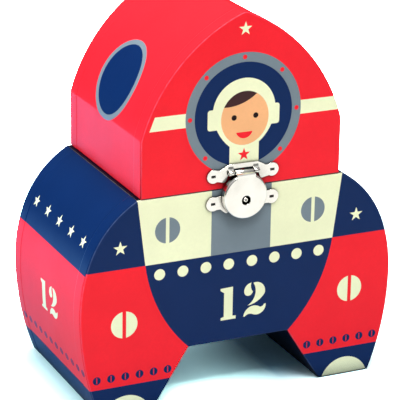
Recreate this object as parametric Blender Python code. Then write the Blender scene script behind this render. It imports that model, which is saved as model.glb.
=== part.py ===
"""Keepsake box in the shape of a toy space rocket.

A rigid box of 2.2 mm greyboard covered in printed paper: a round-shouldered body standing on two
legs with an arch between them, and a nose-shaped lid hinged along the back on a strip of cloth.
A small nickel-plated hasp lock holds the lid: its round case hangs from a pin on the lid and drops
over the strike plate on the body.

Every piece of board and paper is its own solid. Sizes are in millimetres and are turned into metres
when a mesh is made. X is to the right, the front faces -Y, Z is up, and the feet stand on Z = 0.
The origin is the middle of the whole object's width and depth, lock and hinge strip included.
"""
import math

import bmesh
import bpy
from mathutils import Matrix, Vector
from mathutils.geometry import delaunay_2d_cdt

MM = 0.001

# ---------------------------------------------------------------- driving dimensions (mm)
DEPTH = 83.0             # front sheet to back sheet
SEAM = 99.05             # height of the parting line between body and lid
PART_GAP = 0.3           # air between the body and the closed lid
LID_HALF_WIDTH = 48.0
LID_FOLD = 125.0         # where the upright lid wall creases into the curved roof
LID_TOP = 177.8          # height the two roof curves would meet at
ROOF_RADIUS = 80.0
RIDGE_RADIUS = 4.5       # softening of the ridge where the two roof curves meet
RIM_HALF_WIDTH = 49.7    # half width of the body at the parting line
BELLY_HALF_WIDTH = 76.1  # widest half width of the body
BELLY_HEIGHT = 48.0      # height of the widest place
FLANK_RADIUS = 73.0      # of the first part of the side above the belly
FLANK_TURN = 20.0        # degrees that part turns before the tighter shoulder
FOOT_OUTER = 67.0        # half width of the body at the floor
FOOT_INNER = 41.5        # inner edge of each foot at the floor
ARCH_HALF_WIDTH = 24.5   # half width of the arch's flat top
ARCH_HEIGHT = 26.8

PAPER = 0.3              # printed sheet, lining or binding
BOARD = 2.2              # greyboard
GAP = 0.3                # glue line between neighbouring layers
TURN_IN = 0.7            # how far the face sheets fold over the edge of the box
STEP_BACK = 0.9          # the wrapping sheets stop this far from the front and the back

HINGE_CLOTH = 0.4
HINGE_CLOTH_HEIGHT = 10.0
HINGE_CLOTH_HALF_WIDTH = 45.0

PLATE = 0.5              # sheet metal of the lock's plates and case
PRONG_HALF_THICKNESS = 0.25
PRONG_HALF_WIDTH = 0.45
PRONG_REACH = 2.4        # length of its bent tip
PRONG_HOLE = (0.7, 0.85) # half sizes of the hole it passes through
OVERLAP = 0.15           # how far a joined-on shape runs into its plate
CASE_RADIUS = 10.0
CASE_CENTRE = 96.1       # height of the middle of the round case
CASE_FRONT = 4.6         # how far the case stands out from the front sheet
CASE_CROWN = 0.3         # doming of its face
CASE_BACK = 1.1          # its open back edge, measured from the front sheet
CASE_EDGE = 1.4          # rounding between face and skirt
KEYHOLE_RADIUS = 2.1
KEYHOLE_HEIGHT = 94.1
PIN_HEIGHT = 106.3       # hasp pin
PIN_STANDOFF = 1.6       # its distance from the front sheet
PIN_RADIUS = 0.55
PIN_BORE = 0.75
KNUCKLE_RADIUS = 1.15
TAB_HALF_WIDTH = 4.4     # knuckle of the case, in the middle
KNUCKLE_INNER = 4.75     # the two knuckles of the hasp plate, one each side of it
KNUCKLE_OUTER = 7.3
HASP_EAR = (14.2, 105.5)
HASP_EAR_RADIUS = 3.1
HASP_TOP = 110.2
STRIKE_EAR = (14.2, 92.9)
STRIKE_EAR_RADIUS = 3.3
SLOT_LENGTH = 2.0        # window left in each ear where its prong was pressed out
SLOT_HEIGHT = 1.0
LUG_HEIGHT = 90.3        # middle of the strike plate's lug and of the bolt
LUG_HALF_THICKNESS = 0.4
BOLT_BACK = 1.8          # the bolt lies between these two distances from the front sheet
BOLT_FRONT = 2.6
BOLT_TIP = 0.9           # x of the drawn-back bolt's tip

# ---------------------------------------------------------------- places worked out from them
LOCK_STANDOFF = CASE_FRONT
HINGE_STANDOFF = GAP + HINGE_CLOTH
FRONT = -DEPTH / 2 + (LOCK_STANDOFF - HINGE_STANDOFF) / 2
BACK = FRONT + DEPTH
BODY_TOP = SEAM - PART_GAP / 2
LID_BOTTOM = SEAM + PART_GAP / 2
HINGE_AXIS_Y = BACK + HINGE_STANDOFF

BOARD_INSET = PAPER + GAP                    # outside of a board, from the outside of the box
LINING_INSET = BOARD_INSET + BOARD + GAP     # outside of a lining
INSIDE_INSET = LINING_INSET + PAPER          # the inside of the box
FOOT_SHEET_TOP = 0.25
SHEET_BOTTOM = 0.4
BOARD_BOTTOM = 0.8
FLOOR_BOARD = ARCH_HEIGHT + BOARD_INSET + BOARD + GAP
FLOOR_LINING = FLOOR_BOARD + BOARD + GAP

# Upper flank: an arc that is upright at the belly, then the tighter one that goes on to the rim.
FLANK_X = BELLY_HALF_WIDTH - FLANK_RADIUS
_turn = math.radians(FLANK_TURN)
_rim_out, _rim_up = RIM_HALF_WIDTH - FLANK_X, BODY_TOP - BELLY_HEIGHT
_along = _rim_out * math.cos(_turn) + _rim_up * math.sin(_turn)
_closer = (FLANK_RADIUS ** 2 - _rim_out ** 2 - _rim_up ** 2) / (2 * (FLANK_RADIUS - _along))
SHOULDER_RADIUS = FLANK_RADIUS - _closer
SHOULDER_X = FLANK_X + _closer * math.cos(_turn)
SHOULDER_Z = BELLY_HEIGHT + _closer * math.sin(_turn)
# Lower flank: the arc that is upright at the belly and ends at the floor.
_foot_in = BELLY_HALF_WIDTH - FOOT_OUTER
HAUNCH_RADIUS = (_foot_in ** 2 + BELLY_HEIGHT ** 2) / (2 * _foot_in)
FLANK_STEPS, SHOULDER_STEPS, HAUNCH_STEPS, ROOF_STEPS, RIDGE_STEPS = 4, 10, 6, 16, 3

# Roof: the arc through the fold and the ridge.
_chord = math.hypot(LID_HALF_WIDTH, LID_TOP - LID_FOLD)
_reach = math.sqrt(ROOF_RADIUS ** 2 - _chord ** 2 / 4)
ROOF_X = LID_HALF_WIDTH / 2 - _reach * (LID_TOP - LID_FOLD) / _chord
ROOF_Z = (LID_FOLD + LID_TOP) / 2 - _reach * LID_HALF_WIDTH / _chord


# ---------------------------------------------------------------- outlines, as (x, z) in mm
def arc(cx, cz, radius, start, end, steps):
    """Points on a circle from one angle to another, in degrees, both ends included."""
    angles = [math.radians(start + (end - start) * i / steps) for i in range(steps + 1)]
    return [(cx + radius * math.cos(a), cz + radius * math.sin(a)) for a in angles]


def circle(cx, cz, radius, steps):
    return arc(cx, cz, radius, 0, 360 * (steps - 1) / steps, steps - 1)


def rectangle(x0, z0, x1, z1):
    return [(x0, z0), (x1, z0), (x1, z1), (x0, z1)]


def mirrored(points):
    """The same outline on the other side of the middle plane, walked the same way round."""
    return [(-x, z) for x, z in reversed(points)]


def flank(inset, bottom, top):
    """Right side of the body from one height to another, set in from the outside."""
    haunch = HAUNCH_RADIUS - inset
    shoulder = SHOULDER_RADIUS - inset
    haunch_x = BELLY_HALF_WIDTH - HAUNCH_RADIUS
    low = math.degrees(math.asin((bottom - BELLY_HEIGHT) / haunch))
    high = math.degrees(math.asin((top - SHOULDER_Z) / shoulder))
    lower = arc(haunch_x, BELLY_HEIGHT, haunch, low, 0, HAUNCH_STEPS)
    middle = arc(FLANK_X, BELLY_HEIGHT, FLANK_RADIUS - inset, 0, FLANK_TURN, FLANK_STEPS)
    upper = arc(SHOULDER_X, SHOULDER_Z, shoulder, FLANK_TURN, high, SHOULDER_STEPS)
    return lower[:-1] + middle[:-1] + upper


def arch(inset, bottom):
    """The arch from the left foot over to the right foot, set in from its surface."""
    lean = (FOOT_INNER - ARCH_HALF_WIDTH) / ARCH_HEIGHT
    across = inset * math.hypot(1, lean)
    top = ARCH_HEIGHT + inset
    foot_x = ARCH_HALF_WIDTH + (ARCH_HEIGHT - bottom) * lean + across
    corner_x = ARCH_HALF_WIDTH + (ARCH_HEIGHT - top) * lean + across
    return [(-foot_x, bottom), (-corner_x, top), (corner_x, top), (foot_x, bottom)]


def body_outline(inset, bottom, top):
    """Front view of the body with its two legs."""
    right = flank(inset, bottom, top)
    return right + mirrored(right) + arch(inset, bottom)


def wall_outline(inset, bottom, top):
    """Front view of the body above the legs."""
    right = flank(inset, bottom, top)
    return right + mirrored(right)


def roof(inset, bottom):
    """The lid from its right lower edge over the ridge to its left lower edge."""
    wall_x = LID_HALF_WIDTH - inset
    radius = ROOF_RADIUS - inset
    fold = math.degrees(math.acos((wall_x - ROOF_X) / radius))
    ridge_z = ROOF_Z + math.sqrt((ROOF_RADIUS - RIDGE_RADIUS) ** 2 - ROOF_X ** 2)
    meet = math.degrees(math.atan2(ridge_z - ROOF_Z, -ROOF_X))
    right = [(wall_x, bottom)]
    right += arc(ROOF_X, ROOF_Z, radius, fold, meet, ROOF_STEPS)
    right += arc(0, ridge_z, RIDGE_RADIUS - inset, meet, 90, RIDGE_STEPS)[1:]
    return right + mirrored(right)[1:]


# ---------------------------------------------------------------- solids
def on_front(x, z, y):
    return (x, y, z)


def on_top(x, y, z):
    return (x, y, z)


def on_side(y, z, x):
    return (x, y, z)


def inside(point, loop):
    """Whether a point lies inside a closed outline."""
    x, y = point
    crossings = False
    for (x0, y0), (x1, y1) in zip(loop, loop[1:] + loop[:1]):
        if (y0 > y) != (y1 > y) and x < x0 + (y - y0) * (x1 - x0) / (y1 - y0):
            crossings = not crossings
    return crossings


def triangles(outline, holes):
    """Triangles that cover an outline but not its holes, as indices into all its points."""
    loops = [outline] + list(holes)
    points = [p for loop in loops for p in loop]
    edges, first = [], 0
    for loop in loops:
        edges += [(first + i, first + (i + 1) % len(loop)) for i in range(len(loop))]
        first += len(loop)
    found = delaunay_2d_cdt([Vector(p) for p in points], edges, [], 0, 1e-7)
    verts, faces, origins = found[0], found[2], found[3]
    kept = []
    for face in faces:
        middle = sum((verts[i] for i in face), Vector((0, 0))) / 3
        if inside(middle, outline) and not any(inside(middle, hole) for hole in holes):
            kept.append([origins[i][0] for i in face])
    return points, loops, kept


def mesh_object(name, points, faces, material, smooth=True):
    """A named object from points in mm, with its faces turned outwards."""
    bm = bmesh.new()
    verts = [bm.verts.new(Vector(p) * MM) for p in points]
    for face in faces:
        bm.faces.new([verts[i] for i in face])
    bmesh.ops.recalc_face_normals(bm, faces=bm.faces[:])
    mesh = bpy.data.meshes.new(name)
    bm.to_mesh(mesh)
    bm.free()
    if smooth:
        mesh.shade_smooth()
        mesh.set_sharp_from_angle(angle=math.radians(20))
    mesh.materials.append(material)
    made = bpy.data.objects.new(name, mesh)
    bpy.context.scene.collection.objects.link(made)
    return made


def slab(name, outline, low, high, material, holes=(), place=on_front):
    """A flat outline given thickness between two distances across its plane."""
    flat, loops, cover = triangles(outline, holes)
    count = len(flat)
    points = [place(a, b, low) for a, b in flat] + [place(a, b, high) for a, b in flat]
    faces = [tri for tri in cover]
    faces += [[i + count for i in reversed(tri)] for tri in cover]
    first = 0
    for loop in loops:
        for i in range(len(loop)):
            here, after = first + i, first + (i + 1) % len(loop)
            faces.append([here, after, after + count, here + count])
        first += len(loop)
    return mesh_object(name, points, faces, material)


def face_sheet(name, outline, inner, surface, inwards, material, holes=()):
    """A face sheet whose edge is folded over the edge of the box: a very shallow tray.

    outline and inner have the same number of points, one for one. surface is the y of its outside
    and inwards is +1 where the box lies behind it, -1 where it lies in front.
    """
    flat, loops, cover = triangles(outline, holes)
    inner_flat = list(inner) + [p for hole in holes for p in hole]
    count, rim = len(flat), len(outline)
    floor_y = surface + inwards * PAPER
    edge_y = surface + inwards * TURN_IN
    points = [(x, surface, z) for x, z in flat]
    points += [(x, floor_y, z) for x, z in inner_flat]
    points += [(x, edge_y, z) for x, z in outline]
    points += [(x, edge_y, z) for x, z in inner]
    outer_edge, inner_edge = 2 * count, 2 * count + rim
    faces = [tri for tri in cover]
    faces += [[i + count for i in reversed(tri)] for tri in cover]
    for i in range(rim):
        after = (i + 1) % rim
        faces.append([i, after, outer_edge + after, outer_edge + i])
        faces.append([outer_edge + i, outer_edge + after, inner_edge + after, inner_edge + i])
        faces.append([inner_edge + i, inner_edge + after, count + after, count + i])
    first = rim
    for loop in loops[1:]:
        for i in range(len(loop)):
            here, after = first + i, first + (i + 1) % len(loop)
            faces.append([here, after, after + count, here + count])
        first += len(loop)
    return mesh_object(name, points, faces, material)


def turned(name, profile, centre_z, steps, material):
    """A profile of (radius, distance from the front sheet) turned round an axis along Y.

    The profile is a closed loop, and its points at radius 0 become the two poles.
    """
    points, rings = [], []
    for radius, distance in profile:
        y = FRONT - distance
        if radius == 0:
            rings.append([len(points)] * steps)
            points.append((0, y, centre_z))
            continue
        rings.append(list(range(len(points), len(points) + steps)))
        points += [(x, y, z) for x, z in circle(0, centre_z, radius, steps)]
    faces = []
    for a, b in zip(rings, rings[1:] + rings[:1]):
        if a[0] == a[1] and b[0] == b[1]:
            continue
        for i in range(steps):
            j = (i + 1) % steps
            corners = [a[i], a[j], b[j], b[i]]
            faces.append([c for k, c in enumerate(corners) if c not in corners[:k]])
    return mesh_object(name, points, faces, material)


def boolean(target, other, operation):
    """Join another shape to a piece, or cut it away; the other shape stays as a hidden guide."""
    other.hide_render = True
    other.display_type = 'WIRE'
    modifier = target.modifiers.new(other.name, 'BOOLEAN')
    modifier.operation = operation
    modifier.solver = 'EXACT'
    modifier.object = other
    return target


def ride(parent, *pieces):
    """Hang pieces from an empty without moving them."""
    for piece in pieces:
        piece.parent = parent
        piece.matrix_parent_inverse = parent.matrix_world.inverted()


def axis_empty(name, x, y, z):
    empty = bpy.data.objects.new(name, None)
    bpy.context.scene.collection.objects.link(empty)
    empty.location = Vector((x, y, z)) * MM
    empty.matrix_world = Matrix.Translation(empty.location)
    return empty


# ---------------------------------------------------------------- materials
def material(name, colour, roughness, metallic=0.0):
    made = bpy.data.materials.new(name)
    made.use_nodes = True
    shader = made.node_tree.nodes['Principled BSDF']
    shader.inputs['Base Color'].default_value = (*colour, 1.0)
    shader.inputs['Roughness'].default_value = roughness
    shader.inputs['Metallic'].default_value = metallic
    return made


def make_materials():
    return {
        'greyboard': material('greyboard', (0.33, 0.31, 0.28), 0.9),
        'red_sheet': material('red_sheet', (0.93, 0.02, 0.035), 0.28),
        'navy_sheet': material('navy_sheet', (0.014, 0.035, 0.12), 0.3),
        'lining': material('lining', (0.90, 0.93, 0.70), 0.7),
        'binding': material('binding', (0.014, 0.035, 0.12), 0.4),
        'hinge_cloth': material('hinge_cloth', (0.016, 0.03, 0.09), 0.85),
        'nickel': material('nickel', (0.80, 0.79, 0.76), 0.15, 1.0),
        'spring_steel': material('spring_steel', (0.45, 0.45, 0.47), 0.35, 1.0),
    }


# ---------------------------------------------------------------- the body
def prong_hole(ear):
    """The hole each layer of the front wall has for one prong, on the right."""
    x, half, rise = prong_x(ear), *PRONG_HOLE
    return rectangle(x - half, ear[1] - rise, x + half, ear[1] + rise)


def prong_holes(ear):
    return [prong_hole(ear), mirrored(prong_hole(ear))]


def prong_x(ear):
    """A prong stands at the inner end of the window it was pressed from."""
    return ear[0] - SLOT_LENGTH / 2 - OVERLAP


def build_body(mats):
    holes = prong_holes(STRIKE_EAR)
    board_top = BODY_TOP - PAPER - GAP
    outside = body_outline(0, SHEET_BOTTOM, BODY_TOP)
    outside_in = body_outline(PAPER, SHEET_BOTTOM + PAPER, BODY_TOP - PAPER)
    face = body_outline(BOARD_INSET, BOARD_BOTTOM, board_top)
    front_board = FRONT + BOARD_INSET
    back_board = BACK - BOARD_INSET
    between = (front_board + BOARD + GAP, back_board - BOARD - GAP)
    wrap = (FRONT + STEP_BACK, BACK - STEP_BACK)

    face_sheet('base_front_sheet', outside, outside_in, FRONT, 1, mats['red_sheet'], holes)
    face_sheet('base_back_sheet', outside, outside_in, BACK, -1, mats['red_sheet'])
    slab('base_front_board', face, front_board, front_board + BOARD, mats['greyboard'], holes)
    slab('base_back_board', face, back_board - BOARD, back_board, mats['greyboard'])

    def side(outer, inner, bottom, top):
        return flank(outer, bottom, top) + flank(inner, bottom, top)[::-1]

    sheet = side(0, PAPER, SHEET_BOTTOM, BODY_TOP)
    board = side(BOARD_INSET, BOARD_INSET + BOARD, BOARD_BOTTOM, board_top)
    lining = side(LINING_INSET, INSIDE_INSET, FLOOR_LINING, BODY_TOP)
    inner_span = (between[0] + PAPER + GAP, between[1] - PAPER - GAP)
    for name, turn in (('right', list), ('left', mirrored)):
        slab(f'base_{name}_sheet', turn(sheet), *wrap, mats['red_sheet'])
        slab(f'base_{name}_board', turn(board), *between, mats['greyboard'])
        slab(f'base_{name}_lining', turn(lining), *inner_span, mats['lining'])

    arch_sheet = arch(0, SHEET_BOTTOM) + arch(PAPER, SHEET_BOTTOM)[::-1]
    arch_board = arch(BOARD_INSET, BOARD_BOTTOM) + arch(BOARD_INSET + BOARD, BOARD_BOTTOM)[::-1]
    slab('arch_sheet', arch_sheet, *wrap, mats['navy_sheet'])
    slab('arch_board', arch_board, *between, mats['greyboard'])
    build_feet(mats, between)
    build_compartment(mats, between, inner_span)


def build_feet(mats, between):
    """Each leg is closed at the bottom by a board, with a sheet over the whole foot."""
    inner_low = arch(LINING_INSET, BOARD_BOTTOM)[-1][0]
    inner_high = arch(LINING_INSET, BOARD_BOTTOM + BOARD)[-1][0]
    outer_low = flank(LINING_INSET, BOARD_BOTTOM, BODY_TOP)[0][0]
    outer_high = flank(LINING_INSET, BOARD_BOTTOM + BOARD, BODY_TOP)[0][0]
    top = BOARD_BOTTOM + BOARD
    plug = [(inner_low, BOARD_BOTTOM), (outer_low, BOARD_BOTTOM), (outer_high, top), (inner_high, top)]
    cover = rectangle(FOOT_INNER + GAP, FRONT + GAP, FOOT_OUTER - GAP, BACK - GAP)
    for name, turn in (('right', list), ('left', mirrored)):
        slab(f'{name}_foot_board', turn(plug), *between, mats['greyboard'])
        slab(f'{name}_foot_sheet', turn(cover), 0, FOOT_SHEET_TOP, mats['navy_sheet'], place=on_top)


def build_compartment(mats, between, inner_span):
    """The floor over the arch, the linings and the binding along the rim."""
    floor_half = flank(LINING_INSET, FLOOR_BOARD, BODY_TOP)[0][0]
    floor = rectangle(-floor_half, between[0], floor_half, between[1])
    slab('compartment_floor', floor, FLOOR_BOARD, FLOOR_BOARD + BOARD, mats['greyboard'], place=on_top)
    cover_half = flank(INSIDE_INSET + GAP, FLOOR_LINING, BODY_TOP)[0][0]
    cover = rectangle(-cover_half, inner_span[0], cover_half, inner_span[1])
    slab('floor_lining', cover, FLOOR_LINING, FLOOR_LINING + PAPER, mats['lining'], place=on_top)

    upright = wall_outline(LINING_INSET, FLOOR_LINING, BODY_TOP)
    holes = prong_holes(STRIKE_EAR)
    slab('base_front_lining', upright, between[0], between[0] + PAPER, mats['lining'], holes)
    slab('base_back_lining', upright, between[1] - PAPER, between[1], mats['lining'])

    low = BODY_TOP - PAPER
    outer = flank(BOARD_INSET, low - 1, BODY_TOP)[-1][0]
    inner = flank(BOARD_INSET + BOARD, low - 1, low)[-1][0]
    frame = rectangle(-outer, FRONT + TURN_IN + GAP, outer, BACK - TURN_IN - GAP)
    mouth = rectangle(-inner, between[0] - GAP, inner, between[1] + GAP)
    slab('base_rim_binding', frame, low, BODY_TOP, mats['binding'], [mouth], on_top)


# ---------------------------------------------------------------- the lid
def build_lid(mats):
    holes = prong_holes(HASP_EAR)
    board_bottom = LID_BOTTOM + PAPER + GAP
    front_board = FRONT + BOARD_INSET
    back_board = BACK - BOARD_INSET
    between = (front_board + BOARD + GAP, back_board - BOARD - GAP)
    inner_span = (between[0] + PAPER + GAP, between[1] - PAPER - GAP)
    outside = roof(0, LID_BOTTOM)
    outside_in = roof(PAPER, LID_BOTTOM + PAPER)
    face = roof(BOARD_INSET, board_bottom)
    upright = roof(LINING_INSET, LID_BOTTOM)

    def shell(outer, inner, bottom):
        return roof(outer, bottom) + roof(inner, bottom)[::-1]

    lid = [
        face_sheet('lid_front_sheet', outside, outside_in, FRONT, 1, mats['red_sheet'], holes),
        face_sheet('lid_back_sheet', outside, outside_in, BACK, -1, mats['red_sheet']),
        slab('lid_front_board', face, front_board, front_board + BOARD, mats['greyboard'], holes),
        slab('lid_back_board', face, back_board - BOARD, back_board, mats['greyboard']),
        slab('lid_roof_sheet', shell(0, PAPER, LID_BOTTOM), FRONT + STEP_BACK, BACK - STEP_BACK,
             mats['red_sheet']),
        slab('lid_roof_board', shell(BOARD_INSET, BOARD_INSET + BOARD, board_bottom), *between,
             mats['greyboard']),
        slab('lid_front_lining', upright, between[0], between[0] + PAPER, mats['lining'], holes),
        slab('lid_back_lining', upright, between[1] - PAPER, between[1], mats['lining']),
        slab('lid_roof_lining', shell(LINING_INSET, INSIDE_INSET, LID_BOTTOM), *inner_span,
             mats['lining']),
    ]
    outer = LID_HALF_WIDTH - BOARD_INSET
    inner = outer - BOARD
    frame = rectangle(-outer, FRONT + TURN_IN + GAP, outer, BACK - TURN_IN - GAP)
    mouth = rectangle(-inner, between[0] - GAP, inner, between[1] + GAP)
    lid.append(slab('lid_rim_binding', frame, LID_BOTTOM, LID_BOTTOM + PAPER, mats['binding'],
                    [mouth], on_top))
    return lid


def build_hinge(mats):
    """The cloth strip across the seam at the back, as its two glued leaves."""
    low, high = BACK + GAP, BACK + GAP + HINGE_CLOTH
    half, height = HINGE_CLOTH_HALF_WIDTH, HINGE_CLOTH_HEIGHT
    base_leaf = rectangle(-half, BODY_TOP - height, half, BODY_TOP)
    lid_leaf = rectangle(-half, LID_BOTTOM, half, LID_BOTTOM + height)
    slab('hinge_cloth_base_leaf', base_leaf, low, high, mats['hinge_cloth'])
    return slab('hinge_cloth_lid_leaf', lid_leaf, low, high, mats['hinge_cloth'])


# ---------------------------------------------------------------- the lock
def ear_slot(ear):
    x, z = ear
    half, rise = SLOT_LENGTH / 2, SLOT_HEIGHT / 2
    return rectangle(x - half, z - rise, x + half, z + rise)


def prong(name, ear, side, mats):
    """A tongue pressed from the ear, pushed through the wall and bent flat inside it."""
    x, half, width = prong_x(ear), PRONG_HALF_THICKNESS, PRONG_HALF_WIDTH
    inside_y = FRONT + INSIDE_INSET + GAP
    start, turn, tip = FRONT - GAP - PLATE + OVERLAP, inside_y + 0.4, x + PRONG_REACH
    shape = [(x - half, start), (x + half, start), (x + half, inside_y), (tip, inside_y),
             (tip, turn), (x - half, turn)]
    shape = shape if side > 0 else mirrored(shape)
    return slab(name, shape, ear[1] - width, ear[1] + width, mats['nickel'], place=on_top)


def add_prongs(plate, ear, mats):
    for side in (1, -1):
        tongue = prong(f'{plate.name}_prong_{"right" if side > 0 else "left"}', ear, side, mats)
        boolean(plate, tongue, 'UNION')


def hasp_outline():
    """A bridge over the case's knuckle, and two eared wings, as seen from the front."""
    right = [(KNUCKLE_INNER, HASP_TOP - 2.2), (KNUCKLE_INNER, PIN_HEIGHT - 0.8)]
    right += [(KNUCKLE_OUTER, PIN_HEIGHT - 1.3)]
    right += arc(9.3, 103.4, 1.25, 215, 300, 4)
    right += arc(*HASP_EAR, HASP_EAR_RADIUS, 238, 480, 16)
    right += [(10.9, 108.1), (8.6, 109.4), (6.9, HASP_TOP)]
    return right + mirrored(right)


def strike_outline():
    """A plate with two ears, standing behind the round case."""
    right = arc(7.6, 89.9, 1.9, 255, 300, 3)
    right += [(10.7, 90.0)]
    right += arc(*STRIKE_EAR, STRIKE_EAR_RADIUS, 242, 470, 16)
    right += [(10.4, 96.2), (8.6, 97.9)]
    return right + mirrored(right)


def build_hasp(mats):
    """The plate riveted to the lid, with a knuckle on each side of the case's own."""
    slots = [ear_slot(HASP_EAR), mirrored(ear_slot(HASP_EAR))]
    plate = slab('hasp_plate', hasp_outline(), FRONT - GAP - PLATE, FRONT - GAP, mats['nickel'], slots)
    centre = (FRONT - PIN_STANDOFF, PIN_HEIGHT)
    tube = circle(*centre, KNUCKLE_RADIUS, 20)
    bore = circle(*centre, PIN_BORE, 20)
    for name, low, high in (('hasp_knuckle_right', KNUCKLE_INNER, KNUCKLE_OUTER),
                            ('hasp_knuckle_left', -KNUCKLE_OUTER, -KNUCKLE_INNER)):
        boolean(plate, slab(name, tube, low, high, mats['nickel'], [bore], on_side), 'UNION')
    add_prongs(plate, HASP_EAR, mats)
    pin_half = KNUCKLE_OUTER + 0.3
    pin = slab('hasp_pin', circle(*centre, PIN_RADIUS, 16), -pin_half, pin_half,
               mats['nickel'], place=on_side)
    return [plate, pin]


def build_strike(mats):
    """The plate riveted to the body. Its lug stands forward and the bolt passes through it."""
    slots = [ear_slot(STRIKE_EAR), mirrored(ear_slot(STRIKE_EAR))]
    plate = slab('strike_plate', strike_outline(), FRONT - GAP - PLATE, FRONT - GAP,
                 mats['nickel'], slots)
    lug = rectangle(FRONT - 3.5, LUG_HEIGHT - 1.7, FRONT - GAP - PLATE + OVERLAP, LUG_HEIGHT + 1.7)
    window = rectangle(FRONT - BOLT_FRONT - GAP, LUG_HEIGHT - 1.0, FRONT - BOLT_BACK + GAP, LUG_HEIGHT + 1.0)
    boolean(plate, slab('strike_lug', lug, -LUG_HALF_THICKNESS, LUG_HALF_THICKNESS, mats['nickel'],
                        [window], on_side), 'UNION')
    add_prongs(plate, STRIKE_EAR, mats)


def case_profile():
    """Half section of the round case: a pressed cup, open at the back."""
    edge_r = CASE_RADIUS - CASE_EDGE
    face = CASE_FRONT - CASE_CROWN
    shoulder = face - CASE_EDGE
    outer = [(CASE_RADIUS, CASE_BACK)] + arc(edge_r, shoulder, CASE_EDGE, 0, 90, 5)
    outer += [(edge_r * k, face + CASE_CROWN * (1 - k * k)) for k in (0.75, 0.5, 0.25)]
    outer += [(0, CASE_FRONT)]
    inner_edge = CASE_EDGE - PLATE
    inner = [(0, CASE_FRONT - PLATE), (edge_r * 0.5, CASE_FRONT - PLATE - CASE_CROWN / 4)]
    inner += arc(edge_r, shoulder, inner_edge, 90, 0, 2) + [(CASE_RADIUS - PLATE, CASE_BACK)]
    return outer + inner


def build_case(mats):
    """The round case that hangs from the hasp pin, with its keyhole."""
    case = turned('lock_case', case_profile(), CASE_CENTRE, 48, mats['nickel'])
    y, z = FRONT - PIN_STANDOFF, PIN_HEIGHT
    face = FRONT - CASE_FRONT + CASE_CROWN
    tab_back = FRONT - CASE_BACK - 0.4 - GAP
    tab = [(tab_back, z - 2.9), (tab_back, z)]
    tab += arc(y, z, KNUCKLE_RADIUS, 110, 160, 4) + [(face + 0.25, z - 1.5), (face + 0.02, z - 2.9)]
    tube = circle(y, z, KNUCKLE_RADIUS, 20)
    half = TAB_HALF_WIDTH
    boolean(case, slab('case_tab', tab, -half, half, mats['nickel'], place=on_side), 'UNION')
    boolean(case, slab('case_knuckle', tube, -half, half, mats['nickel'], place=on_side), 'UNION')
    reach = half + 3
    bore = slab('case_bore', circle(y, z, PIN_BORE, 20), -reach, reach, mats['nickel'], place=on_side)
    keyhole = slab('case_keyhole', circle(0, KEYHOLE_HEIGHT, KEYHOLE_RADIUS, 24),
                   FRONT - CASE_FRONT - 1, FRONT - BOLT_FRONT - 0.5, mats['nickel'])
    notch_half = LUG_HALF_THICKNESS + 0.35
    notch = slab('case_notch', rectangle(-notch_half, CASE_CENTRE - CASE_RADIUS - 1, notch_half, 88.2),
                 FRONT - 3.85, FRONT, mats['nickel'])
    for cutter in (bore, keyhole, notch):
        boolean(case, cutter, 'DIFFERENCE')
    return case


def build_back_plate(mats):
    """The disc that closes the case, slotted from below for the lug."""
    radius, half, slot_top = CASE_RADIUS - PLATE - GAP, LUG_HALF_THICKNESS + 0.35, LUG_HEIGHT + 2.0
    spread = math.degrees(math.asin(half / radius))
    knuckle_clearance = PIN_HEIGHT - KNUCKLE_RADIUS - GAP
    top = math.degrees(math.asin((knuckle_clearance - CASE_CENTRE) / radius))
    right = [(half, slot_top)] + arc(0, CASE_CENTRE, radius, -90 + spread, top, 20)
    outline = right + mirrored(right)
    hole = circle(0, KEYHOLE_HEIGHT, 0.85, 16)
    return slab('lock_back_plate', outline, FRONT - CASE_BACK - 0.4, FRONT - CASE_BACK,
                mats['nickel'], [hole])


def build_key_post(mats):
    """The drilled post in the middle of the keyhole, which a barrel key turns on."""
    flange, tip = BOLT_BACK, CASE_FRONT - 0.5
    profile = [(0, CASE_BACK), (0.55, CASE_BACK), (0.55, flange), (1.6, flange), (1.6, flange + 0.3),
               (1.1, flange + 0.3), (1.1, tip - 0.2), (0.9, tip), (0.45, tip), (0.45, tip - 1.5),
               (0, tip - 1.5)]
    return turned('key_post', profile, KEYHOLE_HEIGHT, 20, mats['nickel'])


def build_bolt(mats):
    """The sliding bolt, drawn back, with the upright tail that the key pushes."""
    low, high = LUG_HEIGHT - 0.7, LUG_HEIGHT + 0.7
    tail_x, tail_top = 4.2, LUG_HEIGHT + 5.4
    outline = [(BOLT_TIP, low), (6.3, low), (6.3, high), (tail_x + 1, high), (tail_x + 1, tail_top),
               (tail_x, tail_top), (tail_x, high), (BOLT_TIP, high)]
    return slab('lock_bolt', outline, FRONT - BOLT_FRONT, FRONT - BOLT_BACK, mats['spring_steel'])


def build_bolt_spring(mats):
    """The bowed leaf spring above the bolt's tail."""
    centre_z, radius, thickness = 103.1, 7.0, 0.3
    outer = arc(0, centre_z, radius, 210, 330, 14)
    inner = arc(0, centre_z, radius - thickness, 330, 210, 14)
    return slab('bolt_spring', outer + inner, FRONT - BOLT_FRONT, FRONT - BOLT_BACK,
                mats['spring_steel'])


# ---------------------------------------------------------------- assembly
def clear_scene():
    for old in list(bpy.data.objects):
        bpy.data.objects.remove(old)


def guides(piece):
    """The hidden shapes that a piece's Boolean modifiers use."""
    return [modifier.object for modifier in piece.modifiers]


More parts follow.
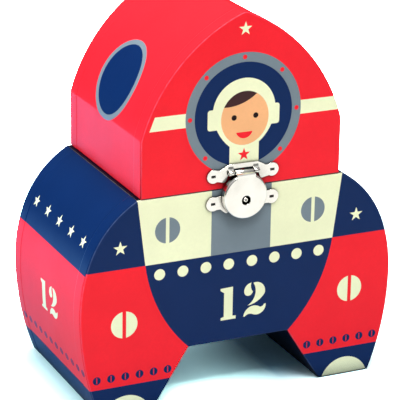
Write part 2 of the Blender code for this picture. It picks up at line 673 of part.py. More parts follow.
def main():
    clear_scene()
    mats = make_materials()
    build_body(mats)
    build_strike(mats)
    plate, pin = build_hasp(mats)
    lid = build_lid(mats) + [plate, pin, build_hinge(mats)]
    case = build_case(mats)
    lock = [case, build_back_plate(mats), build_key_post(mats), build_bolt_spring(mats)]
    bolt = build_bolt(mats)

    lid_axis = axis_empty('lid_axis', 0, HINGE_AXIS_Y, SEAM)
    hasp_axis = axis_empty('hasp_axis', 0, FRONT - PIN_STANDOFF, PIN_HEIGHT)
    bolt_axis = axis_empty('bolt_axis', BOLT_TIP, FRONT - (BOLT_BACK + BOLT_FRONT) / 2, LUG_HEIGHT)
    ride(lid_axis, hasp_axis, *lid, *guides(plate))
    ride(hasp_axis, bolt_axis, *lock, *guides(case))
    ride(bolt_axis, bolt)


main()
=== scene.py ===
"""Looks of the rocket keepsake box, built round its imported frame.

Every printed sheet is its own thin closed shell with the artwork cut into it as areas of ink, laid out
flat and then bent round the board. The linings, the soles and the cloth hinge are such sheets too. The
bindings are swept round the two mouths, and the nickel lock is cut from plate, bent and turned. Sizes
are in millimetres in the frame's axes: X to the right, the front faces -Y, Z is up. FRONT and BACK are
the outsides of the front and back sheets.
"""

from math import acos, asin, atan2, ceil, cos, degrees, dist, hypot, pi, radians, sin, sqrt, tan

import bpy
from mathutils import Matrix, Vector
from mathutils.geometry import delaunay_2d_cdt


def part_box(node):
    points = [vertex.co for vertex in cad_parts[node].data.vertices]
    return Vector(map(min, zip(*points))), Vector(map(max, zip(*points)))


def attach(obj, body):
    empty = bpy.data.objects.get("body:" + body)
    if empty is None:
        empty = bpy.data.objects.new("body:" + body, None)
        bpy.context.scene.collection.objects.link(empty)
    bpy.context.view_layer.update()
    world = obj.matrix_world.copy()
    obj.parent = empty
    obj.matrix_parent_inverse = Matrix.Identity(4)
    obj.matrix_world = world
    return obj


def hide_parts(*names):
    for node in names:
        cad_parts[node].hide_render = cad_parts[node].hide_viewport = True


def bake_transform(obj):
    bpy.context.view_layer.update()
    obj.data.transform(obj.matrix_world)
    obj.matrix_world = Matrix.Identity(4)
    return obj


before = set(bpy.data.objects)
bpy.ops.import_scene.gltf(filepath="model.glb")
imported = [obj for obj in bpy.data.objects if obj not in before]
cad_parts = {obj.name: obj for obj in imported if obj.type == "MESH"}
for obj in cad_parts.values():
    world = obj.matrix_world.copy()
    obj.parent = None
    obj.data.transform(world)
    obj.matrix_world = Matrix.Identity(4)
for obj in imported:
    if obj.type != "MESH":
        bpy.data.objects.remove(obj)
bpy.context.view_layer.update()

MM = 0.001


# ---- sizes taken from the frame (mm)
def low(node):
    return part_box(node)[0] / MM


def high(node):
    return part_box(node)[1] / MM


FRONT = low("base_front_sheet").y
BACK = high("base_back_sheet").y
DEPTH = BACK - FRONT
BODY_TOP = high("base_front_sheet").z
BODY_BOTTOM = low("base_front_sheet").z
LID_BOTTOM = low("lid_front_sheet").z
LID_HALF_WIDTH = high("lid_front_sheet").x
BELLY_HALF_WIDTH = high("base_front_sheet").x
FLOOR_LINING = low("floor_lining").z
SEAM = (BODY_TOP + LID_BOTTOM) / 2
PIN = (low("hasp_pin") + high("hasp_pin")) / 2
PIN_HALF = high("hasp_pin").x

# The outline of the box, as the frame has it.
BELLY_HEIGHT = 48.0
FLANK_RADIUS, FLANK_TURN = 73.0, radians(20)   # side above the belly, before the tighter shoulder
RIM_HALF_WIDTH = 49.7
FOOT_OUTER, FOOT_INNER = 67.0, 41.5
ARCH_HALF_WIDTH, ARCH_HEIGHT = 24.5, 26.8
LID_FOLD, LID_MEET = 125.0, 177.8
ROOF_RADIUS, RIDGE_RADIUS = 80.0, 4.5

# Layers of the wall.
PAPER = 0.3
EDGE = 0.55              # radius the face sheets are folded at
FLANGE = 0.7             # depth of that fold
WRAP = 0.73              # the wrapping sheets start this far behind the face
LINING_INSET = 3.1
TURN_IN = 8.0            # width of the face sheet's turn-in, hidden under the wrapping sheet
TURN_IN_LIFT = 0.17      # how far it lifts the wrapping sheet

FLANK_X = BELLY_HALF_WIDTH - FLANK_RADIUS
_rim_out, _rim_up = RIM_HALF_WIDTH - FLANK_X, BODY_TOP - BELLY_HEIGHT
_along = _rim_out * cos(FLANK_TURN) + _rim_up * sin(FLANK_TURN)
_closer = (FLANK_RADIUS ** 2 - _rim_out ** 2 - _rim_up ** 2) / (2 * (FLANK_RADIUS - _along))
SHOULDER_RADIUS = FLANK_RADIUS - _closer
SHOULDER_X = FLANK_X + _closer * cos(FLANK_TURN)
SHOULDER_Z = BELLY_HEIGHT + _closer * sin(FLANK_TURN)
_foot_in = BELLY_HALF_WIDTH - FOOT_OUTER
HAUNCH_RADIUS = (_foot_in ** 2 + BELLY_HEIGHT ** 2) / (2 * _foot_in)
_chord = hypot(LID_HALF_WIDTH, LID_MEET - LID_FOLD)
_reach = sqrt(ROOF_RADIUS ** 2 - _chord ** 2 / 4)
ROOF_X = LID_HALF_WIDTH / 2 - _reach * (LID_MEET - LID_FOLD) / _chord
ROOF_Z = (LID_FOLD + LID_MEET) / 2 - _reach * LID_HALF_WIDTH / _chord


# ---- flat shapes
def arc(cx, cz, radius, start, end, steps):
    """Points on a circle from one angle to another, in degrees, both ends included."""
    turns = [radians(start + (end - start) * i / steps) for i in range(steps + 1)]
    return [(cx + radius * cos(a), cz + radius * sin(a)) for a in turns]


def ellipse(cx, cz, rx, rz=None, steps=56):
    rz = rz or rx
    turns = [2 * pi * i / steps for i in range(steps)]
    return [(cx + rx * cos(a), cz + rz * sin(a)) for a in turns]


def rectangle(x0, z0, x1, z1):
    return [(x0, z0), (x1, z0), (x1, z1), (x0, z1)]


def rounded(x0, z0, x1, z1, corner):
    """A rectangle with its four corners rounded."""
    near, far, low_z, high_z = x0 + corner, x1 - corner, z0 + corner, z1 - corner
    centres = ((far, low_z), (far, high_z), (near, high_z), (near, low_z))
    return [p for k, (x, z) in enumerate(centres) for p in arc(x, z, corner, 90 * k - 90, 90 * k, 4)]


def mirrored(points):
    """The same outline on the other side of the middle, walked the same way round."""
    return [(-x, z) for x, z in reversed(points)]


def sides(loop):
    """Each point of a closed outline with the one after it."""
    return list(zip(loop, loop[1:] + loop[:1]))


def anticlockwise(loop):
    return sum(a[0] * b[1] - b[0] * a[1] for a, b in sides(loop)) > 0


def clockwise(loop):
    return list(reversed(loop)) if anticlockwise(loop) else list(loop)


def side_normal(side):
    """The outward direction of one side of an outline walked to the left."""
    (x0, z0), (x1, z1) = side
    return Vector((z1 - z0, x0 - x1)).normalized()


def moved(points, dx, dz, scale=1.0):
    return [(dx + scale * x, dz + scale * z) for x, z in points]


def star(cx, cz, radius, points=5, waist=0.4):
    spans = [radius if i % 2 == 0 else radius * waist for i in range(2 * points)]
    turns = [pi / 2 + pi * i / points for i in range(2 * points)]
    return [(cx + r * cos(a), cz + r * sin(a)) for r, a in zip(spans, turns)]


def bent(points, step=10.0):
    """An outline of (x, z, turn): each side bends by that many degrees, to the left when positive."""
    made = []
    for (x0, z0, turn), (x1, z1, _) in sides(points):
        made.append((x0, z0))
        count = max(1, ceil(abs(turn) / step))
        if count == 1:
            continue
        half = radians(turn) / 2
        span = hypot(x1 - x0, z1 - z0)
        radius = span / (2 * sin(half))
        along = ((x1 - x0) / span, (z1 - z0) / span)
        centre_x = (x0 + x1) / 2 - along[1] * radius * cos(half)
        centre_z = (z0 + z1) / 2 + along[0] * radius * cos(half)
        for i in range(1, count):
            a = radians(turn) * i / count
            dx, dz = x0 - centre_x, z0 - centre_z
            made.append((centre_x + dx * cos(a) - dz * sin(a),
                         centre_z + dx * sin(a) + dz * cos(a)))
    return made


def outward(loop):
    """For each point of an outline walked to the left, the mitred step that moves it outwards by 1."""
    normals = [side_normal(side) for side in sides(loop)]
    steps = []
    for before, after in zip(normals[-1:] + normals, normals):
        middle = before + after
        steps.append(middle / max(0.35, middle.dot(before)))
    return steps


def inset(loop, distance):
    return [(x - step.x * distance, z - step.y * distance) for (x, z), step in zip(loop, outward(loop))]


class Area:
    """A closed outline that can be asked quickly whether it holds a point."""

    def __init__(self, loop):
        self.sides = sides(loop)
        self.x = min(p[0] for p in loop), max(p[0] for p in loop)
        self.z = min(p[1] for p in loop), max(p[1] for p in loop)

    def holds(self, point):
        x, z = point
        crossed = False
        if self.x[0] <= x <= self.x[1] and self.z[0] <= z <= self.z[1]:
            for (x0, z0), (x1, z1) in self.sides:
                if (z0 > z) != (z1 > z) and x < x0 + (z - z0) * (x1 - x0) / (z1 - z0):
                    crossed = not crossed
        return crossed


# ---- surfaces a sheet can lie on
class Flat:
    """An upright plane seen from one side: the layout's (x, z), and depth into the box."""

    def __init__(self, y, inwards):
        self.y, self.inwards = y, inwards

    def point(self, x, z, depth):
        return Vector((x, self.y + self.inwards * depth, z))

    def normal(self, x, z):
        return Vector((0, -self.inwards, 0))


class Level:
    """A level plane: the layout's (x, y), and depth downwards."""

    def __init__(self, z, downwards=1):
        self.z, self.downwards = z, downwards

    def point(self, x, y, depth):
        return Vector((x, y, self.z - self.downwards * depth))

    def normal(self, x, y):
        return Vector((0, 0, self.downwards))


class Path:
    """Straight lines and arcs joined end to end in the X-Z plane, measured along their length.

    A line is (start, end) and an arc is (centre, radius, first angle, last angle) in radians. Walked
    along, the outside is on the right.
    """

    def __init__(self, pieces):
        self.pieces, self.starts, self.length = pieces, [], 0.0
        for piece in pieces:
            self.starts.append(self.length)
            self.length += self.size(piece)

    @staticmethod
    def size(piece):
        if len(piece) == 2:
            return dist(*piece)
        return abs(piece[1] * (piece[3] - piece[2]))

    def at(self, s):
        """Place and outward direction at a length along the path, which runs on straight past its ends."""
        held = min(max(s, 0.0), self.length)
        index = max(i for i, start in enumerate(self.starts) if start <= held + 1e-9)
        piece = self.pieces[index]
        share = (held - self.starts[index]) / max(self.size(piece), 1e-9)
        if len(piece) == 2:
            (x0, z0), (x1, z1) = piece
            run = Vector((x1 - x0, z1 - z0)).normalized()
            x, z, out = x0 + (x1 - x0) * share, z0 + (z1 - z0) * share, (run.y, -run.x)
        else:
            (cx, cz), radius, first, last = piece
            a = first + (last - first) * share
            side = 1 if last > first else -1
            x, z = cx + radius * cos(a), cz + radius * sin(a)
            out = (side * cos(a), side * sin(a))
        past = s - held
        return (x - out[1] * past, z + out[0] * past), out

    def lines(self, step):
        """Lengths at which a bent sheet needs a row of points."""
        rows = []
        for start, piece in zip(self.starts, self.pieces):
            size = self.size(piece)
            count = 1
            if len(piece) == 4:
                turn = degrees(abs(piece[3] - piece[2]))
                count = max(2, ceil(size / step), ceil(turn / 12))
            rows += [start + size * i / count for i in range(count)]
        return rows[1:]

    def points(self, step=1.5):
        rows = [0.0] + self.lines(step) + [self.length]
        return [self.at(s)[0] for s in rows]


class Wrapped:
    """A sheet bent along a path: the layout is (length along the path, y).

    Over a face sheet's turn-in, near the front and the back, the sheet lies a little higher. A lining
    is set in from the path and faces the other way.
    """

    def __init__(self, path, lift=TURN_IN_LIFT, set_in=0.0, facing=1):
        self.path, self.lift, self.set_in, self.facing = path, lift, set_in, facing

    def rise(self, y):
        edge = min(y - FRONT, BACK - y)
        t = min(max((TURN_IN + 0.35 - edge) / 0.7, 0.0), 1.0)
        return self.lift * t * t * (3 - 2 * t)

    def point(self, s, y, depth):
        (x, z), (nx, nz) = self.path.at(s)
        rise = self.rise(y) - self.set_in - self.facing * depth
        return Vector((x + nx * rise, y, z + nz * rise))

    def normal(self, s, y):
        (nx, nz) = self.path.at(s)[1]
        slope = (self.rise(y + 0.05) - self.rise(y - 0.05)) / 0.1
        return Vector((nx, -slope, nz)).normalized() * self.facing


class Domed:
    """The pressed face of the round lock case: a shallow dome facing the front."""

    def __init__(self, y, centre_z, radius, crown):
        self.y, self.centre_z, self.radius, self.crown = y, centre_z, radius, crown

    def point(self, x, z, depth):
        share = min(hypot(x, z - self.centre_z) / self.radius, 1.0)
        return Vector((x, self.y - self.crown * (1 - share * share) + depth, z))

    def normal(self, x, z):
        slope = 2 * self.crown / self.radius ** 2
        if hypot(x, z - self.centre_z) >= self.radius - 1e-6:
            slope = 0.0
        return Vector((x * slope, -1, (z - self.centre_z) * slope)).normalized()


# ---- meshes
class Shell:
    """Points, faces, inks and corner directions of a piece being put together, in mm."""

    def __init__(self):
        self.points, self.faces, self.inks, self.directions, self.fold_rub_and_highlight = [], [], [], [], []
        self.names = []

    def ink(self, name):
        """The number that stands for a material's name on this piece."""
        if name not in self.names:
            self.names.append(name)
        return self.names.index(name)

    def point(self, where, fold_rub_and_highlight=0.0):
        self.points.append(where)
        self.fold_rub_and_highlight.append(fold_rub_and_highlight)
        return len(self.points) - 1

    def face(self, corners, ink, directions):
        """A face turned to the side its corner directions point to, unless it has no area."""
        kept = [k for k, i in enumerate(corners) if self.points[i] != self.points[corners[k - 1]]]
        if len(kept) < 3:
            return
        corners, directions = [corners[k] for k in kept], [directions[k] for k in kept]
        a, b, c = (self.points[i] for i in corners[:3])
        facing = (b - a).cross(c - a)
        if len(corners) == 4:
            facing = (self.points[corners[2]] - a).cross(self.points[corners[3]] - b)
        if facing.dot(sum(directions, Vector())) < 0:
            corners, directions = corners[::-1], directions[::-1]
        self.faces.append(corners)
        self.inks.append(ink)
        self.directions.append(directions)

    def object(self, name, body, slot, *stands_for):
        """The finished piece, riding on its body and standing for its CAD nodes."""
        mesh = bpy.data.meshes.new(name)
        mesh.from_pydata([p * MM for p in self.points], [], self.faces)
        mesh.polygons.foreach_set("material_index", self.inks)
        mesh.shade_smooth()
        mesh.normals_split_custom_set([d.normalized() for face in self.directions for d in face])
        mesh.attributes.new("fold_rub_and_highlight", "FLOAT", "POINT").data.foreach_set("value", self.fold_rub_and_highlight)
        for ink in self.names:
            mesh.materials.append(LOOKS[ink])
        made = bpy.data.objects.new(name, mesh)
        bpy.context.scene.collection.objects.link(made)
        if body:
            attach(made, body)
        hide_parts(*stands_for)
        return made


def tessellate(outline, marks, holes, guides):
    """Triangles of an outline, cut along every mark, hole and guide line.

    Returns the points, the triangles, each triangle's ink (the last mark's that covers it, if any), and
    where the points of the outline and then the holes have gone.
    """
    points, edges = [], []
    for loop in [outline] + list(holes) + [mark for _, mark in marks]:
        first = len(points)
        points += loop
        edges += [(first + i, first + (i + 1) % len(loop)) for i in range(len(loop))]
    for start, end in guides:
        edges.append((len(points), len(points) + 1))
        points += [start, end]
    verts, _, faces, origins, *_ = delaunay_2d_cdt([Vector(p) for p in points], edges, [], 0, 1e-5)
    placed = {old: new for new, olds in enumerate(origins) for old in olds}
    border, cuts = Area(outline), [Area(hole) for hole in holes]
    areas = [(ink, Area(mark)) for ink, mark in marks]
    kept, inks = [], []
    for face in faces:
        middle = sum((verts[i] for i in face), Vector((0, 0))) / 3
        if not border.holds(middle) or any(cut.holds(middle) for cut in cuts):
            continue
        if abs((verts[face[1]] - verts[face[0]]).cross(verts[face[2]] - verts[face[0]])) < 1e-7:
            continue
        kept.append(tuple(face))
        inks.append(next((ink for ink, area in reversed(areas) if area.holds(middle)), None))
    return verts, kept, inks, placed


def border_loops(faces, inks):
    """The closed borders of a set of triangles, as (point, ink number of the side after it)."""
    after = {}
    for face, ink in zip(faces, inks):
        for a, b in sides(face):
            after[(a, b)] = ink
    open_sides = {a: (b, ink) for (a, b), ink in after.items() if (b, a) not in after}
    loops = []
    while open_sides:
        start = here = next(iter(open_sides))
        loop = []
        while here in open_sides:
            there, ink = open_sides.pop(here)
            loop.append((here, ink))
            here = there
        loops.append(loop)
    return loops


def sheet(shell, surface, outline, ink, marks=(), holes=(), guides=(), thickness=PAPER,
          fold=0.0, flange=None, hole_fold=0.0, fold_steps=4, worn=0.0):
    """Add to a shell a thin closed sheet on a surface, with its artwork, its outer edge folded inwards.

    ink is the ground's, and marks are (ink, outline). With a fold radius the edge curls round to the
    flange's depth, which is a number or a function of the place. worn sets the fold's rub
    and its painted highlight line.
    """
    grown = [inset(clockwise(hole), hole_fold) if hole_fold else hole for hole in holes]
    laid = inset(outline, fold) if fold else outline
    verts, faces, numbers, _ = tessellate(laid, list(marks), grown, list(guides))
    inks = [shell.ink(number or ink) for number in numbers]
    used = sorted({i for face in faces for i in face})
    upper = {i: shell.point(surface.point(*verts[i], 0.0)) for i in used}
    lower = {i: shell.point(surface.point(*verts[i], thickness)) for i in used}
    facing = {i: surface.normal(*verts[i]) for i in used}
    for face, number in zip(faces, inks):
        shell.face([upper[i] for i in face], number, [facing[i] for i in face])
        shell.face([lower[i] for i in face], number, [-facing[i] for i in face])
    for loop in border_loops(faces, inks):
        flat = [tuple(verts[i]) for i, _ in loop]
        if anticlockwise(flat):
            depths = [flange(*p) if callable(flange) else flange or thickness for p in flat]
            edge = fold, fold_steps, worn
        else:
            depths, edge = [thickness] * len(flat), (hole_fold, 3, 0.0)
        close_border(shell, surface, loop, flat, upper, lower, depths, thickness, *edge)


def close_border(shell, surface, loop, flat, upper, lower, depths, thickness, fold, fold_steps, worn):
    """Join a sheet's two sides along one border, straight or round a folded edge.

    Where the wanted depth is less than the fold's radius, the folded edge is cut off at that depth.
    """
    steps, count = outward(flat), len(loop)
    level = [surface.normal(*p) for p in flat]
    aside = []
    for p, step in zip(flat, steps):
        run = surface.point(p[0] + step.x * 0.01, p[1] + step.y * 0.01, 0) - surface.point(*p, 0)
        aside.append(run.normalized())
    inks = [ink for _, ink in loop]

    def ring(outs, reaches, fold_rub_and_highlight=0.0):
        return [shell.point(surface.point(p[0] + s.x * out, p[1] + s.y * out, reach), fold_rub_and_highlight)
                for p, s, out, reach in zip(flat, steps, outs, reaches)]

    def band(a, b, towards_a, towards_b):
        for i in range(count):
            j = (i + 1) % count
            shell.face([a[i], a[j], b[j], b[i]], inks[i],
                       [towards_a[i], towards_a[j], towards_b[j], towards_b[i]])

    first, last = [upper[i] for i, _ in loop], [lower[i] for i, _ in loop]
    if not fold:
        band(first, last, aside, aside)
        return
    limits = [acos(1 - depth / fold) if depth < fold else pi / 2 for depth in depths]
    rings, directions = [first], [level]
    for k in range(1, fold_steps + 1):
        turns = [min(pi / 2 * k / fold_steps, limit) for limit in limits]
        # The fold's rub and painted highlight, strongest halfway round it.
        fold_rub_and_highlight = worn * sin(pi * k / fold_steps) ** 3
        reaches = [fold * (1 - cos(t)) for t in turns]
        rings.append(ring([fold * sin(t) for t in turns], reaches, fold_rub_and_highlight))
        directions.append([l * cos(t) + a * sin(t) for l, a, t in zip(level, aside, turns)])
    if max(depths) > fold:
        rings.append(ring([fold * sin(t) for t in limits], depths))
        directions.append(directions[-1])
    for k in range(len(rings) - 1):
        band(rings[k], rings[k + 1], directions[k], directions[k + 1])
    down, back = [-d for d in level], [-d for d in aside]
    if max(depths) <= thickness:
        band(rings[-1], last, down, down)
        return
    inner = fold - thickness
    cut = [limit < pi / 2 for limit in limits]
    outs = [inner * sin(t) for t in limits]
    rise = [fold - inner * cos(t) for t in limits]
    end = ring(outs, [r if short else depth for r, short, depth in zip(rise, cut, depths)])
    corner = ring(outs, [r if short else thickness for r, short in zip(rise, cut)])
    band(rings[-1], end, down, down)
    band(end, corner, back, back)
    band(corner, last, down, down)


SHARP_TURN = radians(40)     # from here on a corner of a bar is an edge


def bar(shell, outline, axes, low, high, ink, edge=0.12, holes=()):
    """Add to a shell an outline given thickness between two distances, its edges rounded.

    axes are the two directions of the outline and the direction of the thickness.
    """
    across, up, along = (Vector(a) for a in axes)
    number = shell.ink(ink)

    def at(p, t):
        return across * p[0] + up * p[1] + along * t

    loops = [list(outline)] + [clockwise(hole) for hole in holes]
    flat_loops = [inset(loop, edge) for loop in loops]
    verts, faces, _, placed = tessellate(flat_loops[0], [], flat_loops[1:], [])
    ends = {}
    for t, facing in ((low, -along), (high, along)):
        ends[t] = {i: shell.point(at(verts[i], t)) for i in {i for face in faces for i in face}}
        for face in faces:
            shell.face([ends[t][i] for i in face], number, [facing] * 3)
    turns = [radians(a) for a in (30, 60, 90)]
    begun = 0
    for loop in loops:
        count, steps = len(loop), outward(loop)
        own = [placed[begun + i] for i in range(count)]
        begun += count
        normals = [side_normal(side) for side in sides(loop)]
        rounds = [s.normalized() for s in steps]

        def towards(side, corner):
            """The smooth direction at a corner, or the side's own where the outline turns sharply."""
            smooth_here = normals[corner - 1].angle(normals[corner]) < SHARP_TURN
            flat_direction = rounds[corner] if smooth_here else normals[side]
            return across * flat_direction.x + up * flat_direction.y

        rings = []
        for t, inwards, order in ((low, 1, turns), (high, -1, turns[::-1])):
            made = []
            for a in order:
                out, rise = sin(a) - 1, 1 - cos(a)
                spots = [(x + s.x * out * edge, z + s.y * out * edge) for (x, z), s in zip(loop, steps)]
                made.append(([shell.point(at(p, t + inwards * edge * rise)) for p in spots], a, inwards))
            first = ([ends[t][i] for i in own], 0.0, inwards)
            rings += [first] + made if inwards == 1 else made + [first]
        for (ring_a, turn_a, in_a), (ring_b, turn_b, in_b) in zip(rings, rings[1:]):
            for i in range(count):
                j = (i + 1) % count
                corners = [ring_a[i], ring_a[j], ring_b[j], ring_b[i]]
                places = ((i, turn_a, in_a), (j, turn_a, in_a), (j, turn_b, in_b), (i, turn_b, in_b))
                directions = [towards(i, corner) * sin(turn) - along * inwards * cos(turn)
                              for corner, turn, inwards in places]
                shell.face(corners, number, directions)


def turned(shell, profile, ink, steps):
    """Add to a shell a closed profile of (radius, x) turned round the hasp pin's axis.

    A point given twice is a sharp corner.
    """
    number = shell.ink(ink)
    corners = [p for i, p in enumerate(profile) if p != profile[i - 1]]
    sharp = {p for i, p in enumerate(profile) if p == profile[i - 1]}
    normals = [side_normal(side) for side in sides(corners)]
    turns = [2 * pi * i / steps for i in range(steps)]
    spokes = [Vector((0, cos(a), sin(a))) for a in turns]
    rings = []
    for radius, x in corners:
        middle = Vector((x, PIN.y, PIN.z))
        if radius == 0:
            rings.append([shell.point(middle)] * steps)
        else:
            rings.append([shell.point(middle + spoke * radius) for spoke in spokes])
    for k in range(len(corners)):
        n = (k + 1) % len(corners)
        if corners[k][0] == 0 and corners[n][0] == 0:
            continue
        flat = []
        for corner, before in ((k, k - 1), (n, k)):
            middle = normals[before] + normals[corner]
            flat.append(normals[k] if corners[corner] in sharp else middle.normalized())
        for i in range(steps):
            j = (i + 1) % steps
            quad = [(rings[k][i], 0, i), (rings[k][j], 0, j), (rings[n][j], 1, j), (rings[n][i], 1, i)]
            quad = [c for m, c in enumerate(quad) if c[0] not in [q[0] for q in quad[:m]]]
            shell.face([c[0] for c in quad], number,
                       [spokes[c[2]] * flat[c[1]].x + Vector((flat[c[1]].y, 0, 0)) for c in quad])


# ---- materials
def linear(red, green, blue):
    """A colour given as it looks on a screen, from 0 to 255, as Blender's linear values."""
    parts = [c / 255 for c in (red, green, blue)]
    return tuple(c / 12.92 if c <= 0.04045 else ((c + 0.055) / 1.055) ** 2.4 for c in parts) + (1.0,)


def plug(socket, value):
    """Give an input a value, or link it to another node's output."""
    if isinstance(value, bpy.types.NodeSocket):
        socket.id_data.links.new(value, socket)
    else:
        socket.default_value = value


def node(tree, kind, inputs=None, **settings):
    """A shader node with its settings and inputs."""
    made = tree.nodes.new("ShaderNode" + kind)
    for key, value in settings.items():
        setattr(made, key, value)
    for key, value in (inputs or {}).items():
        plug(made.inputs[key], value)
    return made


def object_place(tree):
    return node(tree, "TexCoord").outputs["Object"]


def noise(tree, scale, detail=3.0, roughness=0.5, stretch=(1, 1, 1)):
    """Noise in the frame's own coordinates; scale counts features in a millimetre."""
    factors = Vector(stretch) * scale / MM
    sized = node(tree, "VectorMath", {0: object_place(tree), 1: factors}, operation="MULTIPLY").outputs[0]
    return node(tree, "TexNoise", {"Vector": sized, "Scale": 1.0, "Detail": detail,
                                   "Roughness": roughness}).outputs["Fac"]


def ramp(value, low_in, high_in, low_out=0.0, high_out=1.0):
    return node(value.id_data, "MapRange", {"Value": value, "From Min": low_in, "From Max": high_in,
                                            "To Min": low_out, "To Max": high_out}).outputs["Result"]


def mix(share, a, b):
    """The tone a where the share is 0, and b where it is 1."""
    return node(share.id_data, "Mix", {0: share, 6: a, 7: b}, data_type="RGBA").outputs[2]


def fade(value, low_in, high_in, a, b, most=1.0):
    """The tone a going over to b, by at most a share of it, as a value climbs through a range."""
    return mix(ramp(value, low_in, high_in, 0, most), a, b)


def product(a, b):
    return node(a.id_data, "Math", {0: a, 1: b}, operation="MULTIPLY").outputs[0]


def total(a, b):
    return node(a.id_data, "Math", {0: a, 1: b}, operation="ADD").outputs[0]


def bump(height, millimetres, under=None):
    inputs = {"Height": height, "Distance": millimetres * MM, "Strength": 1.0}
    if under is not None:
        inputs["Normal"] = under
    return node(height.id_data, "Bump", inputs).outputs["Normal"]


def material(name):
    """A new material, its node tree and its Principled shader."""
    made = bpy.data.materials.new(name)
    made.use_nodes = True
    return made, made.node_tree, made.node_tree.nodes["Principled BSDF"]


def feed(shader, **values):
    for key, value in values.items():
        plug(shader.inputs[key.replace("_", " ")], value)


def shade(colour, factor):
    return tuple(min(1.0, c * factor) for c in colour[:3]) + (1.0,)


# Pale bluish tone on the folds: the film rubbed through, and a painted highlight line along them.
WORN_FILM_AND_HIGHLIGHT = linear(150, 168, 208)


def painted_crevice_shade(tree, reach, low_in, high_in):
    """Where shade is painted: 1 in the open, falling to 0 in corners and gaps narrower than reach, in mm."""
    open_sky = node(tree, "AmbientOcclusion", {"Distance": reach * MM}, samples=4).outputs["AO"]
    return ramp(open_sky, low_in, high_in)


def laminated(name, colour):
    """Printed paper under a clear gloss film, glued to board that isn't quite flat, with painted shade in its
    corners and gaps and a painted highlight along its rubbed folds.
    """
    made, tree, shader = material(name)
    fibre = noise(tree, 5.0, 2, 0.5, (1, 1, 0.35))
    tone = fade(noise(tree, 0.05, 3), 0.3, 0.7, shade(colour, 0.95), shade(colour, 1.04))
    tone = fade(noise(tree, 0.8, 4, 0.6), 0.35, 0.75, tone, shade(colour, 0.93), 0.5)
    # Painted highlight and rub along the folds: a faint pale line everywhere, stronger where the noise rubs
    # the film.
    worn = node(tree, "Attribute", attribute_name="fold_rub_and_highlight").outputs["Fac"]
    rubbed_and_lit = ramp(noise(tree, 0.28, 4, 0.7), 0.35, 0.75, 0.06, 0.26)
    tone = mix(product(worn, rubbed_and_lit), tone, WORN_FILM_AND_HIGHLIGHT)
    # Painted shade: the print goes to about a tenth of its colour in corners and gaps within 7 mm.
    tone = mix(painted_crevice_shade(tree, 7.0, 0.35, 0.92), shade(colour, 0.12), tone)
    smear = ramp(noise(tree, 0.03, 5, 0.65), 0.3, 0.75, 0.0, 0.10)
    peel = bump(noise(tree, 0.9, 2), 0.004, bump(noise(tree, 0.09, 2), 0.05))
    feed(shader, Base_Color=tone, Roughness=total(smear, 0.30), Normal=bump(fibre, 0.0015, peel), IOR=1.48,
         Specular_IOR_Level=0.08, Coat_Weight=0.08, Coat_Roughness=total(smear, 0.12), Coat_Normal=peel)
    return made


def bare_paper(name, colour, gloss=0.75):
    """Uncoated paper with visible fibres."""
    made, tree, shader = material(name)
    fibre = noise(tree, 2.6, 5, 0.65, (1, 1, 0.4))
    tone = fade(noise(tree, 0.06, 3), 0.3, 0.7, shade(colour, 0.95), shade(colour, 1.03))
    tone = fade(fibre, 0.5, 0.75, tone, shade(colour, 0.82), 0.4)
    feed(shader, Base_Color=tone, Roughness=ramp(fibre, 0.3, 0.7, gloss - 0.08, gloss + 0.08),
         Normal=bump(fibre, 0.015))
    return made


def greyboard(name):
    """Grey recycled board: short dark and light fibres in layers."""
    made, tree, shader = material(name)
    fleck = noise(tree, 1.6, 6, 0.7)
    tone = fade(fleck, 0.35, 0.7, linear(128, 123, 115), linear(172, 166, 156))
    tone = fade(noise(tree, 0.5, 3, 0.5, (0.3, 3, 0.3)), 0.45, 0.6, tone, linear(108, 104, 98), 0.35)
    feed(shader, Base_Color=tone, Roughness=0.92, Normal=bump(fleck, 0.05))
    return made


def book_cloth(name, colour):
    """Plain-weave cloth, about two threads to the millimetre."""
    made, tree, shader = material(name)
    threads = []
    for turn in (0.0, pi / 2):
        way = node(tree, "VectorRotate", {"Vector": object_place(tree), "Axis": (0, 1, 0), "Angle": turn})
        inputs = {"Vector": way.outputs[0], "Scale": 0.33 / MM, "Distortion": 0.6, "Detail": 1.0,
                  "Detail Scale": 2.0}
        threads.append(node(tree, "TexWave", inputs, bands_direction="X").outputs["Fac"])
    weave = product(*threads)
    tone = fade(weave, 0, 0.7, shade(colour, 0.55), shade(colour, 1.5))
    tone = fade(noise(tree, 0.6, 3, 0.6, (0.2, 1, 1)), 0.5, 0.7, tone, shade(colour, 2.2), 0.3)
    feed(shader, Base_Color=tone, Roughness=0.85, Normal=bump(weave, 0.06), Sheen_Weight=0.25)
    return made


